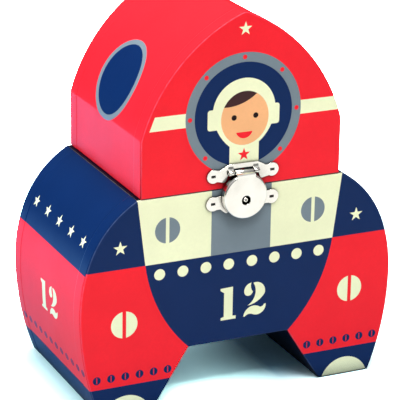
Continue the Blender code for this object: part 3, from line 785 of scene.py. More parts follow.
def nickel(name, rings_about=None):
    """Polished nickel plate with fine scratches; on the case they run round its middle. Shade is painted near
    black into its corners and gaps.
    """
    made, tree, shader = material(name)
    cloud = noise(tree, 0.12, 4, 0.6)
    scratch = noise(tree, 3.0, 3, 0.7, (0.08, 1, 1))
    if rings_about is not None:
        inputs = {0: object_place(tree), 1: rings_about * MM}
        offset = node(tree, "VectorMath", inputs, operation="SUBTRACT").outputs[0]
        flat = node(tree, "VectorMath", {0: offset, 1: (1, 0, 1)}, operation="MULTIPLY").outputs[0]
        reach = node(tree, "VectorMath", {0: flat}, operation="LENGTH").outputs["Value"]
        scratch = node(tree, "TexNoise", {"W": product(reach, 3.0 / MM), "Scale": 1.0, "Detail": 3.0,
                                          "Roughness": 0.7}, noise_dimensions="1D").outputs["Fac"]
    tone = fade(cloud, 0.3, 0.7, linear(250, 248, 242), linear(238, 235, 227))
    # Painted shade: near black in corners and gaps within 8 mm.
    tone = mix(painted_crevice_shade(tree, 8.0, 0.3, 0.8), linear(26, 24, 22), tone)
    rough = total(ramp(cloud, 0.3, 0.75, 0.10, 0.22), ramp(scratch, 0.4, 0.7, 0, 0.08))
    feed(shader, Base_Color=tone, Metallic=1.0, Roughness=rough,
         Normal=bump(scratch, 0.0012, bump(cloud, 0.01)))
    return made


def spring_steel(name):
    made, tree, shader = material(name)
    grain = noise(tree, 4.0, 3, 0.6, (0.05, 1, 1))
    feed(shader, Base_Color=mix(grain, linear(150, 150, 152), linear(186, 186, 188)), Metallic=1.0,
         Roughness=ramp(grain, 0.3, 0.7, 0.28, 0.45), Normal=bump(grain, 0.004))
    return made


CASE_CENTRE = low("lock_case").z + high("lock_case").x
CASE_FACE = low("lock_case").y

RED = linear(250, 36, 50)
NAVY = linear(8, 40, 90)
LOOKS = {
    "red": laminated("red_print", RED),
    "navy": laminated("navy_print", NAVY),
    # Navy darkened near black as painted shade, for the sheet under the arch and the feet's inner walls.
    "painted_shade_navy": laminated("navy_print_with_painted_shade", linear(10, 18, 42)),
    "cream": laminated("cream_print", linear(246, 250, 209)),
    "grey": laminated("grey_print", linear(122, 137, 147)),
    "skin": laminated("peach_print", linear(250, 186, 132)),
    "hair": laminated("brown_print", linear(66, 40, 42)),
    "dark": laminated("near_black_print", linear(30, 18, 20)),
    "lining": bare_paper("lining_paper", linear(240, 243, 214)),
    # The binding's own dark navy, made darker still as painted shade for the dark line along the seam.
    "binding": laminated("binding_paper", linear(16, 26, 56)),
    "sole": bare_paper("sole_paper", linear(30, 44, 80), 0.6),
    "board": greyboard("greyboard"),
    "cloth": book_cloth("book_cloth", linear(30, 42, 78)),
    "nickel": nickel("nickel"),
    "turned_nickel": nickel("turned_nickel", Vector((0, 0, CASE_CENTRE))),
    "spring_steel": spring_steel("spring_steel"),
}


# ---- the walls' paths
def cornered(points, radius):
    """A path of straight lines with its corners rounded."""
    pieces, start = [], points[0]
    for before, corner, after in zip(points, points[1:], points[2:]):
        a = (Vector(corner) - Vector(before)).normalized()
        b = (Vector(after) - Vector(corner)).normalized()
        turn = atan2(a.x * b.y - a.y * b.x, a.dot(b))
        reach = radius * tan(abs(turn) / 2)
        enter, leave = Vector(corner) - a * reach, Vector(corner) + b * reach
        side = 1 if turn > 0 else -1
        centre = enter + Vector((-a.y, a.x)) * radius * side
        first = atan2(enter.y - centre.y, enter.x - centre.x)
        pieces += [(start, tuple(enter)), (tuple(centre), radius, first, first + turn)]
        start = tuple(leave)
    return Path(pieces + [(start, points[-1])])


def flank_path():
    """The right wall of the body, from the floor up to the rim."""
    low_turn = asin((BODY_BOTTOM - BELLY_HEIGHT) / HAUNCH_RADIUS)
    high_turn = asin((BODY_TOP - SHOULDER_Z) / SHOULDER_RADIUS)
    return Path([((BELLY_HALF_WIDTH - HAUNCH_RADIUS, BELLY_HEIGHT), HAUNCH_RADIUS, low_turn, 0),
                 ((FLANK_X, BELLY_HEIGHT), FLANK_RADIUS, 0, FLANK_TURN),
                 ((SHOULDER_X, SHOULDER_Z), SHOULDER_RADIUS, FLANK_TURN, high_turn)])


def other_side(path):
    """The same path mirrored to the left and walked the other way."""
    return Path([((-x, z), radius, pi - last, pi - first)
                 for (x, z), radius, first, last in reversed(path.pieces)])


def climb(z, set_in=0.0):
    """Length along the right wall at which it, or a surface set in from it, reaches a height."""
    if z < BELLY_HEIGHT:
        turn = asin((z - BELLY_HEIGHT) / (HAUNCH_RADIUS - set_in))
        return HAUNCH_RADIUS * (turn - asin((BODY_BOTTOM - BELLY_HEIGHT) / HAUNCH_RADIUS))
    turn = asin(min((z - BELLY_HEIGHT) / (FLANK_RADIUS - set_in), 1))
    if turn < FLANK_TURN:
        return RIGHT_WALL.starts[1] + FLANK_RADIUS * turn
    turn = asin((z - SHOULDER_Z) / (SHOULDER_RADIUS - set_in))
    return RIGHT_WALL.starts[2] + SHOULDER_RADIUS * (turn - FLANK_TURN)


FOLD_RADIUS = 3.9        # softening of the crease between the lid's wall and its roof


def roof_path():
    """The lid's covering from its right lower edge over the ridge to its left lower edge."""
    wall = LID_HALF_WIDTH
    fold_x = wall - FOLD_RADIUS
    fold_z = ROOF_Z + sqrt((ROOF_RADIUS - FOLD_RADIUS) ** 2 - (fold_x - ROOF_X) ** 2)
    crease = atan2(fold_z - ROOF_Z, fold_x - ROOF_X)
    ridge_z = ROOF_Z + sqrt((ROOF_RADIUS - RIDGE_RADIUS) ** 2 - ROOF_X ** 2)
    meet = atan2(ridge_z - ROOF_Z, -ROOF_X)
    return Path([((wall, LID_BOTTOM), (wall, fold_z)),
                 ((fold_x, fold_z), FOLD_RADIUS, 0, crease),
                 ((ROOF_X, ROOF_Z), ROOF_RADIUS, crease, meet),
                 ((0, ridge_z), RIDGE_RADIUS, meet, pi - meet),
                 ((-ROOF_X, ROOF_Z), ROOF_RADIUS, pi - meet, pi - crease),
                 ((-fold_x, fold_z), FOLD_RADIUS, pi - crease, pi),
                 ((-wall, fold_z), (-wall, LID_BOTTOM))])


RIGHT_WALL = flank_path()
LEFT_WALL = other_side(RIGHT_WALL)
ROOF = roof_path()
_lean = (FOOT_INNER - ARCH_HALF_WIDTH) / ARCH_HEIGHT
_sole_x = FOOT_INNER - BODY_BOTTOM * _lean
ARCH = cornered([(-_sole_x, BODY_BOTTOM), (-ARCH_HALF_WIDTH, ARCH_HEIGHT),
                 (ARCH_HALF_WIDTH, ARCH_HEIGHT), (_sole_x, BODY_BOTTOM)], 1.2)
BODY_OUTLINE = RIGHT_WALL.points() + LEFT_WALL.points() + ARCH.points()
LID_OUTLINE = ROOF.points()


# ---- artwork, laid out flat, as (ink, outline)
def screw(x, z, radius, head, ground):
    """A round screw head cut in two by its upright slot."""
    slot = 0.14 * radius
    return [(head, ellipse(x, z, radius)),
            (ground, rectangle(x - slot, z - radius - 0.3, x + slot, z + radius + 0.3))]


FIGURE_HEIGHT = 16.0     # of the stencilled number on the front
STEM_LEFT, STEM_RIGHT, SLAB = 1.8, 6.1, 1.4


def numerals(x, z):
    """The stencilled number: a slab-footed 1 and a 2 in three pieces, with its middle at x."""
    top = FIGURE_HEIGHT
    one = [(0.3, 0), (7.7, 0), (7.7, SLAB), (STEM_RIGHT, SLAB + 0.2), (STEM_RIGHT, top - 0.5),
           (0, top - 0.7), (0, top - 1.7), (STEM_LEFT, top - 3), (STEM_LEFT, SLAB + 0.2), (0.3, SLAB - 0.2)]
    drop = bent([(3.7, top, 92), (0.2, 11.8, 165), (4.5, 11.7, -60)])
    bowl = bent([(2, 5.2, 53), (10.4, 10, 121), (4.7, top - 0.2, -95)])
    foot = bent([(0, 0.3, 0), (0.6, 0, -70), (4.4, 0.8, 124), (11.1, 4.9, 0), (10.2, 4.9, -80),
                 (8.2, 3.7, 121)])
    placed = [moved(one, x - 11.3, z)] + [moved(part, x + 0.2, z) for part in (drop, bowl, foot)]
    return [("cream", outline) for outline in placed]


def rivets(places, z, radius=1.9):
    """Small navy rivets, each with a fine slot."""
    marks = []
    for x in places:
        marks += [("navy", ellipse(x, z, radius, steps=28)),
                  ("red", rectangle(x - 0.2, z - radius * 0.75, x + 0.2, z + radius * 0.75))]
    return marks


MIDLINE = 68.64          # where the red panels of the front end
PANEL_LOW, PANEL_HIGH, PANEL_SWELL = 45.8, 49.75, 38.7
PAST_EDGE = 90.0         # far enough out for a band to run off either side of a sheet


def body_front_art():
    top = BODY_TOP + 1
    arch, below = ARCH_HALF_WIDTH, ARCH_HEIGHT - 2
    panel = bent([(arch, ARCH_HEIGHT, PANEL_SWELL), (PANEL_LOW, MIDLINE, 0),
                  (-PANEL_LOW, MIDLINE, PANEL_SWELL), (-arch, ARCH_HEIGHT, 0), (-arch, below, 0),
                  (arch, below, 0)], step=3)
    trapezium = [(PANEL_LOW, MIDLINE), (PANEL_HIGH, top), (-PANEL_HIGH, top), (-PANEL_LOW, MIDLINE)]
    marks = [("navy", rectangle(-PAST_EDGE, MIDLINE, PAST_EDGE, top)), ("navy", panel),
             ("cream", trapezium), ("grey", rectangle(-14.5, MIDLINE, 14.5, top))]
    for x in (-35.4, 35.4):
        marks += screw(x, 83.6, 5.95, "grey", "cream")
    for x in (5.7 + 11.1 * i for i in range(4)):
        marks += [("cream", ellipse(x, 63.5, 2.6, steps=32)), ("cream", ellipse(-x, 63.5, 2.6, steps=32))]
    marks += numerals(1.85, 36.9)
    for side in (-1, 1):
        marks.append(("cream", star(side * 57.55, 78.2, 3.4)))
        marks += screw(side * 55.6, 42.5, 6.24, "cream", "red")
        marks += rivets([side * (34.7 + 6.77 * i) for i in range(6)], 17.9)
    marks.append(("navy", rectangle(-PAST_EDGE, -5, PAST_EDGE, 13.44)))
    for side in (-1, 1):
        marks.append(("cream", ellipse(side * 54.5, -3.6, 12.2)))
    return marks


WALL_MIDLINE = 67.4      # where the navy starts on the side walls


def side_wall_art(side):
    """A side wall's art as (h, v): along the wall to the viewer's right, and up it.

    The front edge is at the right on the left wall, where side is 1, and at the left on the right wall.
    """
    middle = DEPTH / 2
    marks = [("navy", rectangle(-PAST_EDGE, climb(WALL_MIDLINE), PAST_EDGE, RIGHT_WALL.length + 2))]
    marks += [("cream", star(side * (middle - 13.6 - 14.2 * i), climb(78.4), 3.1)) for i in range(5)]
    marks += [(ink, moved(outline, side * 3.2, climb(36.2), 0.9)) for ink, outline in numerals(0, 0)]
    marks += rivets([side * (middle - 4.1 - 6.58 * i) for i in range(12)], climb(20.8), 1.7)
    marks.append(("navy", rectangle(-PAST_EDGE, -2, PAST_EDGE, climb(13.2))))
    return marks


def right_wall_art():
    """In the right wall's layout of (length from the floor, y)."""
    middle = (FRONT + BACK) / 2
    return [(ink, [(v, middle + h) for h, v in outline]) for ink, outline in side_wall_art(-1)]


def left_wall_art():
    """In the left wall's layout of (length from the rim, y)."""
    middle, length = (FRONT + BACK) / 2, LEFT_WALL.length
    return [(ink, [(length - v, middle - h) for h, v in outline]) for ink, outline in side_wall_art(1)]


PORTHOLE = 132.24        # height of the middle of the lid's round window


def roof_edge(z, set_in):
    """How far out the lid's front reaches at a height."""
    return ROOF_X + sqrt(ROOF_RADIUS ** 2 - (z - ROOF_Z) ** 2) - set_in


def lid_ground_art():
    """Star, bands and porthole: what the front and back of the lid share."""
    marks = [("cream", star(0, 170.2, 3.2))]
    low_z, high_z = 129.1, 135.4
    band = [(-roof_edge(low_z, 2.4), low_z), (0, low_z), (0, high_z), (-roof_edge(high_z, 2.4), high_z)]
    marks += [("cream", band), ("cream", rectangle(0, low_z, 60, high_z))]
    marks += [("grey", ellipse(0, PORTHOLE, 27.6, steps=96)), ("navy", ellipse(0, PORTHOLE, 23.3, steps=84))]
    return marks + [("red", ellipse(x, z, 1.05, steps=20)) for x, z in ellipse(0, PORTHOLE, 25.5, steps=8)]


def astronaut():
    """A small cartoon child in a round helmet, about the middle of the porthole."""
    helmet = bent([(7.6, -13.4, 56), (15.1, 3, 169), (-14.8, 2.2, 47), (-6.5, -14.2, 0)], 6)
    low_z, high_z, corner = -6.0, 3.3, 1.2
    pad = (arc(17.2 - corner, low_z + corner, corner, -90, 0, 4)
           + arc(17.2 - corner, high_z - corner, corner, 0, 90, 4) + [(12, high_z), (12, low_z)])
    face_x, face_z, face_w, face_h = 0.6, -1.9, 11.4, 12.2
    right, left = (6.1, 8.6), (-9.8, 3.9)
    turns = [atan2((z - face_z) / face_h, (x - face_x) / face_w) for x, z in (right, left)]
    crown = [(face_x + face_w * cos(a), face_z + face_h * sin(a), 0.0)
             for a in (turns[0] + (turns[1] - turns[0]) * i / 16 for i in range(17))]
    crown[-1] = crown[-1][:2] + (44.0,)
    marks = [("cream", helmet), ("cream", pad), ("cream", mirrored(pad)),
             ("cream", rectangle(-6.5, -24, 7.6, -12)),
             ("skin", ellipse(face_x, face_z, face_w, face_h)), ("hair", bent(crown, 5)),
             ("dark", ellipse(-4.6, -1.3, 1.25, steps=24)), ("dark", ellipse(5.8, -1.2, 1.25, steps=24)),
             ("red", bent([(-3.5, -8.2, 145), (4.4, -8.2, 0)])), ("red", star(0.5, -18.5, 3.1))]
    return [(ink, moved(outline, 0, PORTHOLE)) for ink, outline in marks]


def roof_art():
    """A porthole on each side of the lid, in the layout (length along the covering, y)."""
    marks = []
    along = ROOF.starts[1] + 17.2 + FOLD_RADIUS * 0.3
    for s in (along, ROOF.length - along):
        marks += [("grey", ellipse(s, FRONT + 41.6, 19.3, 18.5, steps=80)),
                  ("navy", ellipse(s, FRONT + 41.6, 16.8, 15.8, steps=72))]
    return marks


def from_behind(marks):
    """A face's art as it lies on the back of the box."""
    return [(ink, mirrored(outline)) for ink, outline in marks]


# ---- paper, board and cloth pieces
def single_sheet(prefix, name, body, slot, surface, outline, ink, **how):
    """One sheet as a piece of its own, standing for the CAD node of the same name."""
    shell = Shell()
    sheet(shell, surface, outline, ink, **how)
    shell.object(prefix + name, body, slot, name)


def prong_holes(x, z):
    """The holes for the lock's prongs, a little longer than the slots in its ears."""
    hole = rectangle(x - 0.7, z - 0.85, x + 2.5, z + 0.85)
    return [hole, mirrored(hole)]


EAR_X = 14.2
HASP_EAR_Z, STRIKE_EAR_Z = 105.5, 92.9
PRONG_X = EAR_X - 1.15


def face_pieces():
    body_holes, lid_holes = prong_holes(PRONG_X, STRIKE_EAR_Z), prong_holes(PRONG_X, HASP_EAR_Z)
    lid_art = lid_ground_art()
    for name, body, outline, y, inwards, art, holes in (
            ("base_front_sheet", "base", BODY_OUTLINE, FRONT, 1, body_front_art(), body_holes),
            ("base_back_sheet", "base", BODY_OUTLINE, BACK, -1, from_behind(body_front_art()), []),
            ("lid_front_sheet", "lid", LID_OUTLINE, FRONT, 1, lid_art + astronaut(), lid_holes),
            ("lid_back_sheet", "lid", LID_OUTLINE, BACK, -1, from_behind(lid_art), [])):
        single_sheet("printed_", name, body, "red_sheet", Flat(y, inwards), outline, "red", marks=art,
                     holes=holes, fold=EDGE, flange=FLANGE, worn=1.0)


ROW_STEP = 1.6           # between the rows of points of a bent sheet


def ridge_lines(first, last):
    """Guide lines along a wrapping sheet where it climbs over the face sheets' turn-ins."""
    steps = [TURN_IN + k for k in (-0.35, -0.18, 0.0, 0.18, 0.35)]
    places = [FRONT + d for d in steps] + [BACK - d for d in steps]
    return [((first, y), (last, y)) for y in places]


def wrapped_pieces():
    y0, y1 = FRONT + WRAP, BACK - WRAP
    for name, body, path, art, ink, slot in (
            ("base_right_sheet", "base", RIGHT_WALL, right_wall_art(), "red", "red_sheet"),
            ("base_left_sheet", "base", LEFT_WALL, left_wall_art(), "red", "red_sheet"),
            # Under the arch the navy is printed darker, as painted shade.
            ("arch_sheet", "base", ARCH, [], "painted_shade_navy", "navy_sheet"),
            ("lid_roof_sheet", "lid", ROOF, roof_art(), "red", "red_sheet")):
        rows = [((s, y0 - 1), (s, y1 + 1)) for s in path.lines(ROW_STEP)]
        single_sheet("printed_", name, body, slot, Wrapped(path), rectangle(0, y0, path.length, y1), ink,
                     marks=art, guides=rows + ridge_lines(-1, path.length + 1), fold=0.28)


LINING_DROP = 2.0        # the linings stop this far from the parting line
LINING_FOLD = 0.12
INNER = LINING_INSET + PAPER


def set_in_from(places):
    """Places on a path moved in to where the lining lies."""
    return [(x - nx * LINING_INSET, z - nz * LINING_INSET) for (x, z), (nx, nz) in places]


def lining_pieces():
    """Uncoated paper inside the body and the lid, pasted over the turned-in binding."""
    y0, y1 = FRONT + INNER + 0.3, BACK - INNER - 0.3
    low_s, high_s = climb(FLOOR_LINING, LINING_INSET), climb(BODY_TOP - LINING_DROP, LINING_INSET)
    right = set_in_from([RIGHT_WALL.at(low_s + (high_s - low_s) * i / 32) for i in range(33)])
    upright = right + mirrored(right)
    roof_rows = [LINING_DROP] + ROOF.lines(ROW_STEP) + [ROOF.length - LINING_DROP]
    gable = set_in_from([ROOF.at(s) for s in roof_rows])
    for name, body, y, inwards, outline, holes in (
            ("base_front_lining", "base", FRONT + INNER, -1, upright, prong_holes(PRONG_X, STRIKE_EAR_Z)),
            ("base_back_lining", "base", BACK - INNER, 1, upright, []),
            ("lid_front_lining", "lid", FRONT + INNER, -1, gable, prong_holes(PRONG_X, HASP_EAR_Z)),
            ("lid_back_lining", "lid", BACK - INNER, 1, gable, [])):
        single_sheet("pasted_", name, body, "lining", Flat(y, inwards), outline, "lining", holes=holes,
                     fold=LINING_FOLD)
    for name, body, path, s0, s1 in (
            ("base_right_lining", "base", RIGHT_WALL, low_s, high_s),
            ("base_left_lining", "base", LEFT_WALL, LEFT_WALL.length - high_s, LEFT_WALL.length - low_s),
            ("lid_roof_lining", "lid", ROOF, LINING_DROP, ROOF.length - LINING_DROP)):
        rows = [((s, y0 - 1), (s, y1 + 1)) for s in path.lines(ROW_STEP) if s0 + 0.3 < s < s1 - 0.3]
        single_sheet("pasted_", name, body, "lining", Wrapped(path, 0.0, INNER, -1),
                     rectangle(s0, y0, s1, y1), "lining", guides=rows, fold=LINING_FOLD)
    half = high("floor_lining").x
    single_sheet("pasted_", "floor_lining", "base", "lining", Level(FLOOR_LINING + PAPER),
                 rectangle(-half, y0, half, y1), "lining", fold=LINING_FOLD)


def foot_pieces():
    """The covering of each sole, with softened corners."""
    for name in ("left_foot_sheet", "right_foot_sheet"):
        (x0, y0, _), (x1, y1, top) = low(name), high(name)
        single_sheet("covered_", name, "base", "navy_sheet", Level(0.0, -1), rounded(x0, y0, x1, y1, 1.0),
                     "sole", thickness=top, fold=0.15)


def collar(shell, loops, ink):
    """A band swept round a rectangular mouth: loops of (half width, front y, back y, z), closed up."""
    number = shell.ink(ink)
    rings = []
    for half, y0, y1, z in loops:
        corners = ((half, y0, z), (half, y1, z), (-half, y1, z), (-half, y0, z))
        rings.append([shell.point(Vector(corner)) for corner in corners])
    for a, b in sides(rings):
        for i in range(4):
            j = (i + 1) % 4
            p, q, r = (shell.points[v] for v in (a[i], a[j], b[j]))
            facing = (q - p).cross(r - p).normalized()
            shell.face([a[i], a[j], b[j], b[i]], number, [facing] * 4)


BINDING, BINDING_LEG, BINDING_BEND = 0.25, 7.0, 0.25     # its thickness, its leg inside, its inner bend
BOARD = 2.2


def binding_pieces():
    """Paper folded over the board's edges round the mouth of the body and of the lid."""
    rim_out, rim_up = RIGHT_WALL.at(RIGHT_WALL.length)[1]
    for name, body, z, down, lean, proud in (
            ("base_rim_binding", "base", BODY_TOP, -1, rim_up / rim_out, 0.7),
            ("lid_rim_binding", "lid", LID_BOTTOM, 1, 0.0, 0.0)):
        outer, y0, y1 = high(name).x + proud, low(name).y, high(name).y
        wall_y = FRONT + LINING_INSET - 0.03 - y0
        inner = outer - BOARD * hypot(1, lean) + 0.3 * lean

        def loop(inwards, depth):
            return (inner - inwards + depth * lean, y0 + wall_y + inwards, y1 - wall_y - inwards,
                    z + down * depth)

        loops = [(outer, y0, y1, z + down * BINDING), (outer, y0, y1, z + down * 0.05),
                 (outer - 0.06, y0 + 0.06, y1 - 0.06, z)]
        for turn in (0, 30, 60, 90):
            a = radians(turn)
            loops.append(loop(BINDING_BEND * (sin(a) - 1), BINDING_BEND * (1 - cos(a))))
        loops += [loop(0, BINDING_LEG), loop(-BINDING, BINDING_LEG), loop(-BINDING, BINDING)]
        shell = Shell()
        collar(shell, loops, "binding")
        shell.object("folded_" + name, body, "binding", name)


def hinge_piece():
    """The cloth strip glued across the seam at the back, with rows of points close together along the seam.
    """
    leaf = "hinge_cloth_base_leaf"
    half, bottom, outside = high(leaf).x, low(leaf).z, high(leaf).y
    top, thick = high("hinge_cloth_lid_leaf").z, high(leaf).y - low(leaf).y
    rows = [bottom + 2.0 * i for i in range(1, 5)] + [top - 2.0 * i for i in range(1, 5)]
    rows += [SEAM + 0.2 * i for i in range(-7, 8)]
    shell = Shell()
    sheet(shell, Flat(outside, -1), rectangle(-half, bottom, half, top), "cloth",
          guides=[((-half - 1, z), (half + 1, z)) for z in rows], thickness=thick, fold=0.2)
    strip = shell.object("hinge_cloth_strip", None, "hinge_cloth", leaf, "hinge_cloth_lid_leaf")
    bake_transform(strip)


# ---- the lock
PLATE = 0.5
FACING = ((1, 0, 0), (0, 0, 1), (0, 1, 0))       # an outline seen from the front, thickness backwards
SIDEWAYS = ((0, 1, 0), (0, 0, 1), (1, 0, 0))     # an outline seen from the side, thickness across
SEEN_FROM_ABOVE = ((1, 0, 0), (0, 1, 0), (0, 0, 1))
PLATE_FRONT, PLATE_BACK = FRONT - 0.8, FRONT - 0.3
KNUCKLE_RADIUS, BORE = 1.15, 0.75


def ear_slot(z):
    slot = rectangle(EAR_X - 1, z - 0.5, EAR_X + 1, z + 0.5)
    return [slot, mirrored(slot)]


def prongs(shell, z):
    """The tongues pressed from the ears, pushed through the wall and bent flat inside it."""
    inside_y = FRONT + INNER + 0.3
    x = PRONG_X
    shape = [(x - 0.25, PLATE_BACK - 0.2), (x + 0.25, PLATE_BACK - 0.2), (x + 0.25, inside_y),
             (x + 2.4, inside_y), (x + 2.3, inside_y + 0.4), (x - 0.05, inside_y + 0.4),
             (x - 0.25, inside_y + 0.2)]
    for outline in (shape, mirrored(shape)):
        bar(shell, outline, SEEN_FROM_ABOVE, z - 0.45, z + 0.45, "nickel", edge=0.06)


def wings(shell, right, ear_z):
    """The flat plate of the hasp or the strike, from its right half, with a slot and a prong in each ear."""
    bar(shell, right + mirrored(right), FACING, PLATE_FRONT, PLATE_BACK, "nickel", 0.14, ear_slot(ear_z))
    prongs(shell, ear_z)


def barrel(shell, x0, x1):
    """A rolled knuckle round the hasp pin."""
    e = 0.12
    profile = [(BORE, x0), (BORE, x0), (KNUCKLE_RADIUS - e, x0), (KNUCKLE_RADIUS, x0 + e),
               (KNUCKLE_RADIUS, x1 - e), (KNUCKLE_RADIUS - e, x1), (BORE, x1), (BORE, x1)]
    turned(shell, profile, "nickel", 32)


KNUCKLE = 4.75, 7.3      # where each knuckle of the hasp begins and ends
PIN_RADIUS, PIN_DOME = 0.55, 0.25


def hasp_pieces():
    near, far = KNUCKLE
    right = [(near, 108.0), (near, 105.5), (far, 105.0)]
    right += arc(9.3, 103.4, 1.25, 215, 300, 6)
    right += arc(EAR_X, HASP_EAR_Z, 3.1, 238, 480, 24)
    right += [(10.9, 108.1), (8.6, 109.4), (6.9, 110.2)]
    shell = Shell()
    wings(shell, right, HASP_EAR_Z)
    y, z = PIN.y, PIN.z
    tongue = [(y, z + KNUCKLE_RADIUS), (y + 0.2, z + BORE), (PLATE_BACK, z + 0.4), (PLATE_BACK, z + 2.8),
              (PLATE_FRONT, z + 2.8), (PLATE_FRONT - 0.15, z + 1.7)]
    for a, b in ((-far, -near), (near, far)):
        barrel(shell, a, b)
        bar(shell, tongue, SIDEWAYS, a, b, "nickel", edge=0.08)
    shell.object("nickel_hasp_plate", "lid", "nickel", "hasp_plate")

    shell = Shell()
    rounding = ((1, 1), (0.9, 0.6), (0.6, 0.2), (0, 0))
    end = [(PIN_RADIUS * out, PIN_HALF - PIN_DOME * back) for out, back in rounding]
    turned(shell, [(radius, -x) for radius, x in reversed(end)] + end, "nickel", 24)
    shell.object("nickel_hasp_pin", "lid", "nickel", "hasp_pin")


LUG_Z, LUG_RISE, LUG_HALF_WIDTH, LUG_REACH = 90.3, 1.7, 0.4, 3.5


def strike_piece():
    right = arc(7.6, 89.9, 1.9, 255, 300, 5)
    right += [(10.7, 90.0)]
    right += arc(EAR_X, STRIKE_EAR_Z, 3.3, 242, 470, 24)
    right += [(10.4, 96.2), (8.6, 97.9)]
    shell = Shell()
    wings(shell, right, STRIKE_EAR_Z)
    lug = rectangle(FRONT - LUG_REACH, LUG_Z - LUG_RISE, PLATE_BACK - 0.2, LUG_Z + LUG_RISE)
    window = rectangle(FRONT - 2.9, LUG_Z - 1.0, FRONT - 1.5, LUG_Z + 1.0)
    bar(shell, lug, SIDEWAYS, -LUG_HALF_WIDTH, LUG_HALF_WIDTH, "nickel", 0.08, [window])
    shell.object("nickel_strike_plate", "base", "nickel", "strike_plate")


CASE_EDGE, CROWN = 0.9, 0.3
SKIRT_BACK = FRONT - 1.1
NOTCH = 0.75
SHOWN_RADIUS, SHOWN_CENTRE = 10.4, 95.8          # the case a little fuller than its solid, as photographed
NECK_HALF_WIDTH, NECK_TOP = 4.4, 105.2


def case_piece():
    """The pressed round case: domed face, rounded edge, skirt with a notch below, neck and knuckle."""
    rim_y = CASE_FACE + CROWN
    skirt, neck_depth = SKIRT_BACK - rim_y, PIN.y - KNUCKLE_RADIUS - rim_y

    def depth(x, z):
        if abs(x) < NECK_HALF_WIDTH and z > SHOWN_CENTRE:
            return neck_depth
        return 0.45 if abs(x) < NOTCH and z < SHOWN_CENTRE else skirt

    spread = degrees(asin(NOTCH / SHOWN_RADIUS))
    shoulder = degrees(acos(NECK_HALF_WIDTH / SHOWN_RADIUS))
    right = arc(0, SHOWN_CENTRE, SHOWN_RADIUS, -90, -90 + spread - 0.08, 3)
    right += arc(0, SHOWN_CENTRE, SHOWN_RADIUS, -90 + spread, shoulder, 44)
    right += arc(NECK_HALF_WIDTH - 0.4, NECK_TOP - 0.4, 0.4, 0, 90, 3)
    outline = right + mirrored(right)[:-1]
    flat_radius = SHOWN_RADIUS - CASE_EDGE
    marks = [("turned_nickel", ellipse(0, SHOWN_CENTRE, flat_radius * share, steps=48))
             for share in (0.85, 0.7, 0.55, 0.4)]
    post = (low("key_post").z + high("key_post").z) / 2
    shell = Shell()
    sheet(shell, Domed(rim_y, SHOWN_CENTRE, flat_radius, CROWN), outline, "turned_nickel", marks,
          [ellipse(0, post, 2.1, steps=36)], thickness=PLATE, fold=CASE_EDGE, flange=depth, hole_fold=0.25,
          fold_steps=6)
    front, pin_y, pin_z = rim_y - 0.03, PIN.y, PIN.z
    face = [(0, -2.9), (0, -0.8), (0.12, -0.66)]
    shelf = [(-2.5, -0.45), (-2.0, -0.22), (-1.5, -0.05), (-1.0, 0.1), (-1.0, -0.5), (-2.0, -0.85)]
    inner_face = [(0.6, -1.2), (0.4, -1.6), (0.4, -2.9)]
    neck = moved(face, front, pin_z) + moved(shelf, pin_y, pin_z) + moved(inner_face, front, pin_z)
    bar(shell, neck, SIDEWAYS, -NECK_HALF_WIDTH, NECK_HALF_WIDTH, "nickel", edge=0.06)
    barrel(shell, -NECK_HALF_WIDTH, NECK_HALF_WIDTH)
    shell.object("nickel_lock_case", "lock_case", "nickel", "lock_case")


# ---- CAD pieces shown as they are
CARRIED_OVER = {
    "board": ("base_front_board", "base_back_board", "base_left_board", "base_right_board", "arch_board",
              "left_foot_board", "right_foot_board", "compartment_floor", "lid_front_board", "lid_back_board",
              "lid_roof_board"),
    "nickel": ("lock_back_plate", "key_post"),
    "spring_steel": ("bolt_spring", "lock_bolt"),
}


def dress_cad_nodes():
    for look, names in CARRIED_OVER.items():
        for name in names:
            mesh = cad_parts[name].data
            mesh.materials.clear()
            mesh.materials.append(LOOKS[look])


# ---- floor, light and camera
FLOOR_SIZE, FLOOR_STEPS = 1.6, 8                 # m, squares along a side
FAR_FLOOR = (6, 6, 6, 1)                         # the floor's tones as the camera sees them
OPEN_FLOOR = (1.3, 1.68, 1.72, 1), (1.34, 1.7, 1.74, 1)
ARCH_SHADOW = (4.8, 7.8, 7.8, 1), (0.5, 0.95, 1.25, 1)       # from the left foot to the right one
FOOT_SHADOW = (0.4, 0.8, 0.85, 1)
BOUNCE_FRONT = (0.70, 0.70, 0.68, 1)             # and the tones that it throws on the box
BOUNCE_MIDDLE = (0.2, 0.42, 0.6, 1)
BOUNCE_BACK = (0.34, 0.8, 1.55, 1)


def window(value, rise_from, rise_to, fall_from, fall_to):
    """0 outside a range and 1 within it, with a ramp at either end."""
    return product(ramp(value, rise_from, rise_to), ramp(value, fall_from, fall_to, 1, 0))


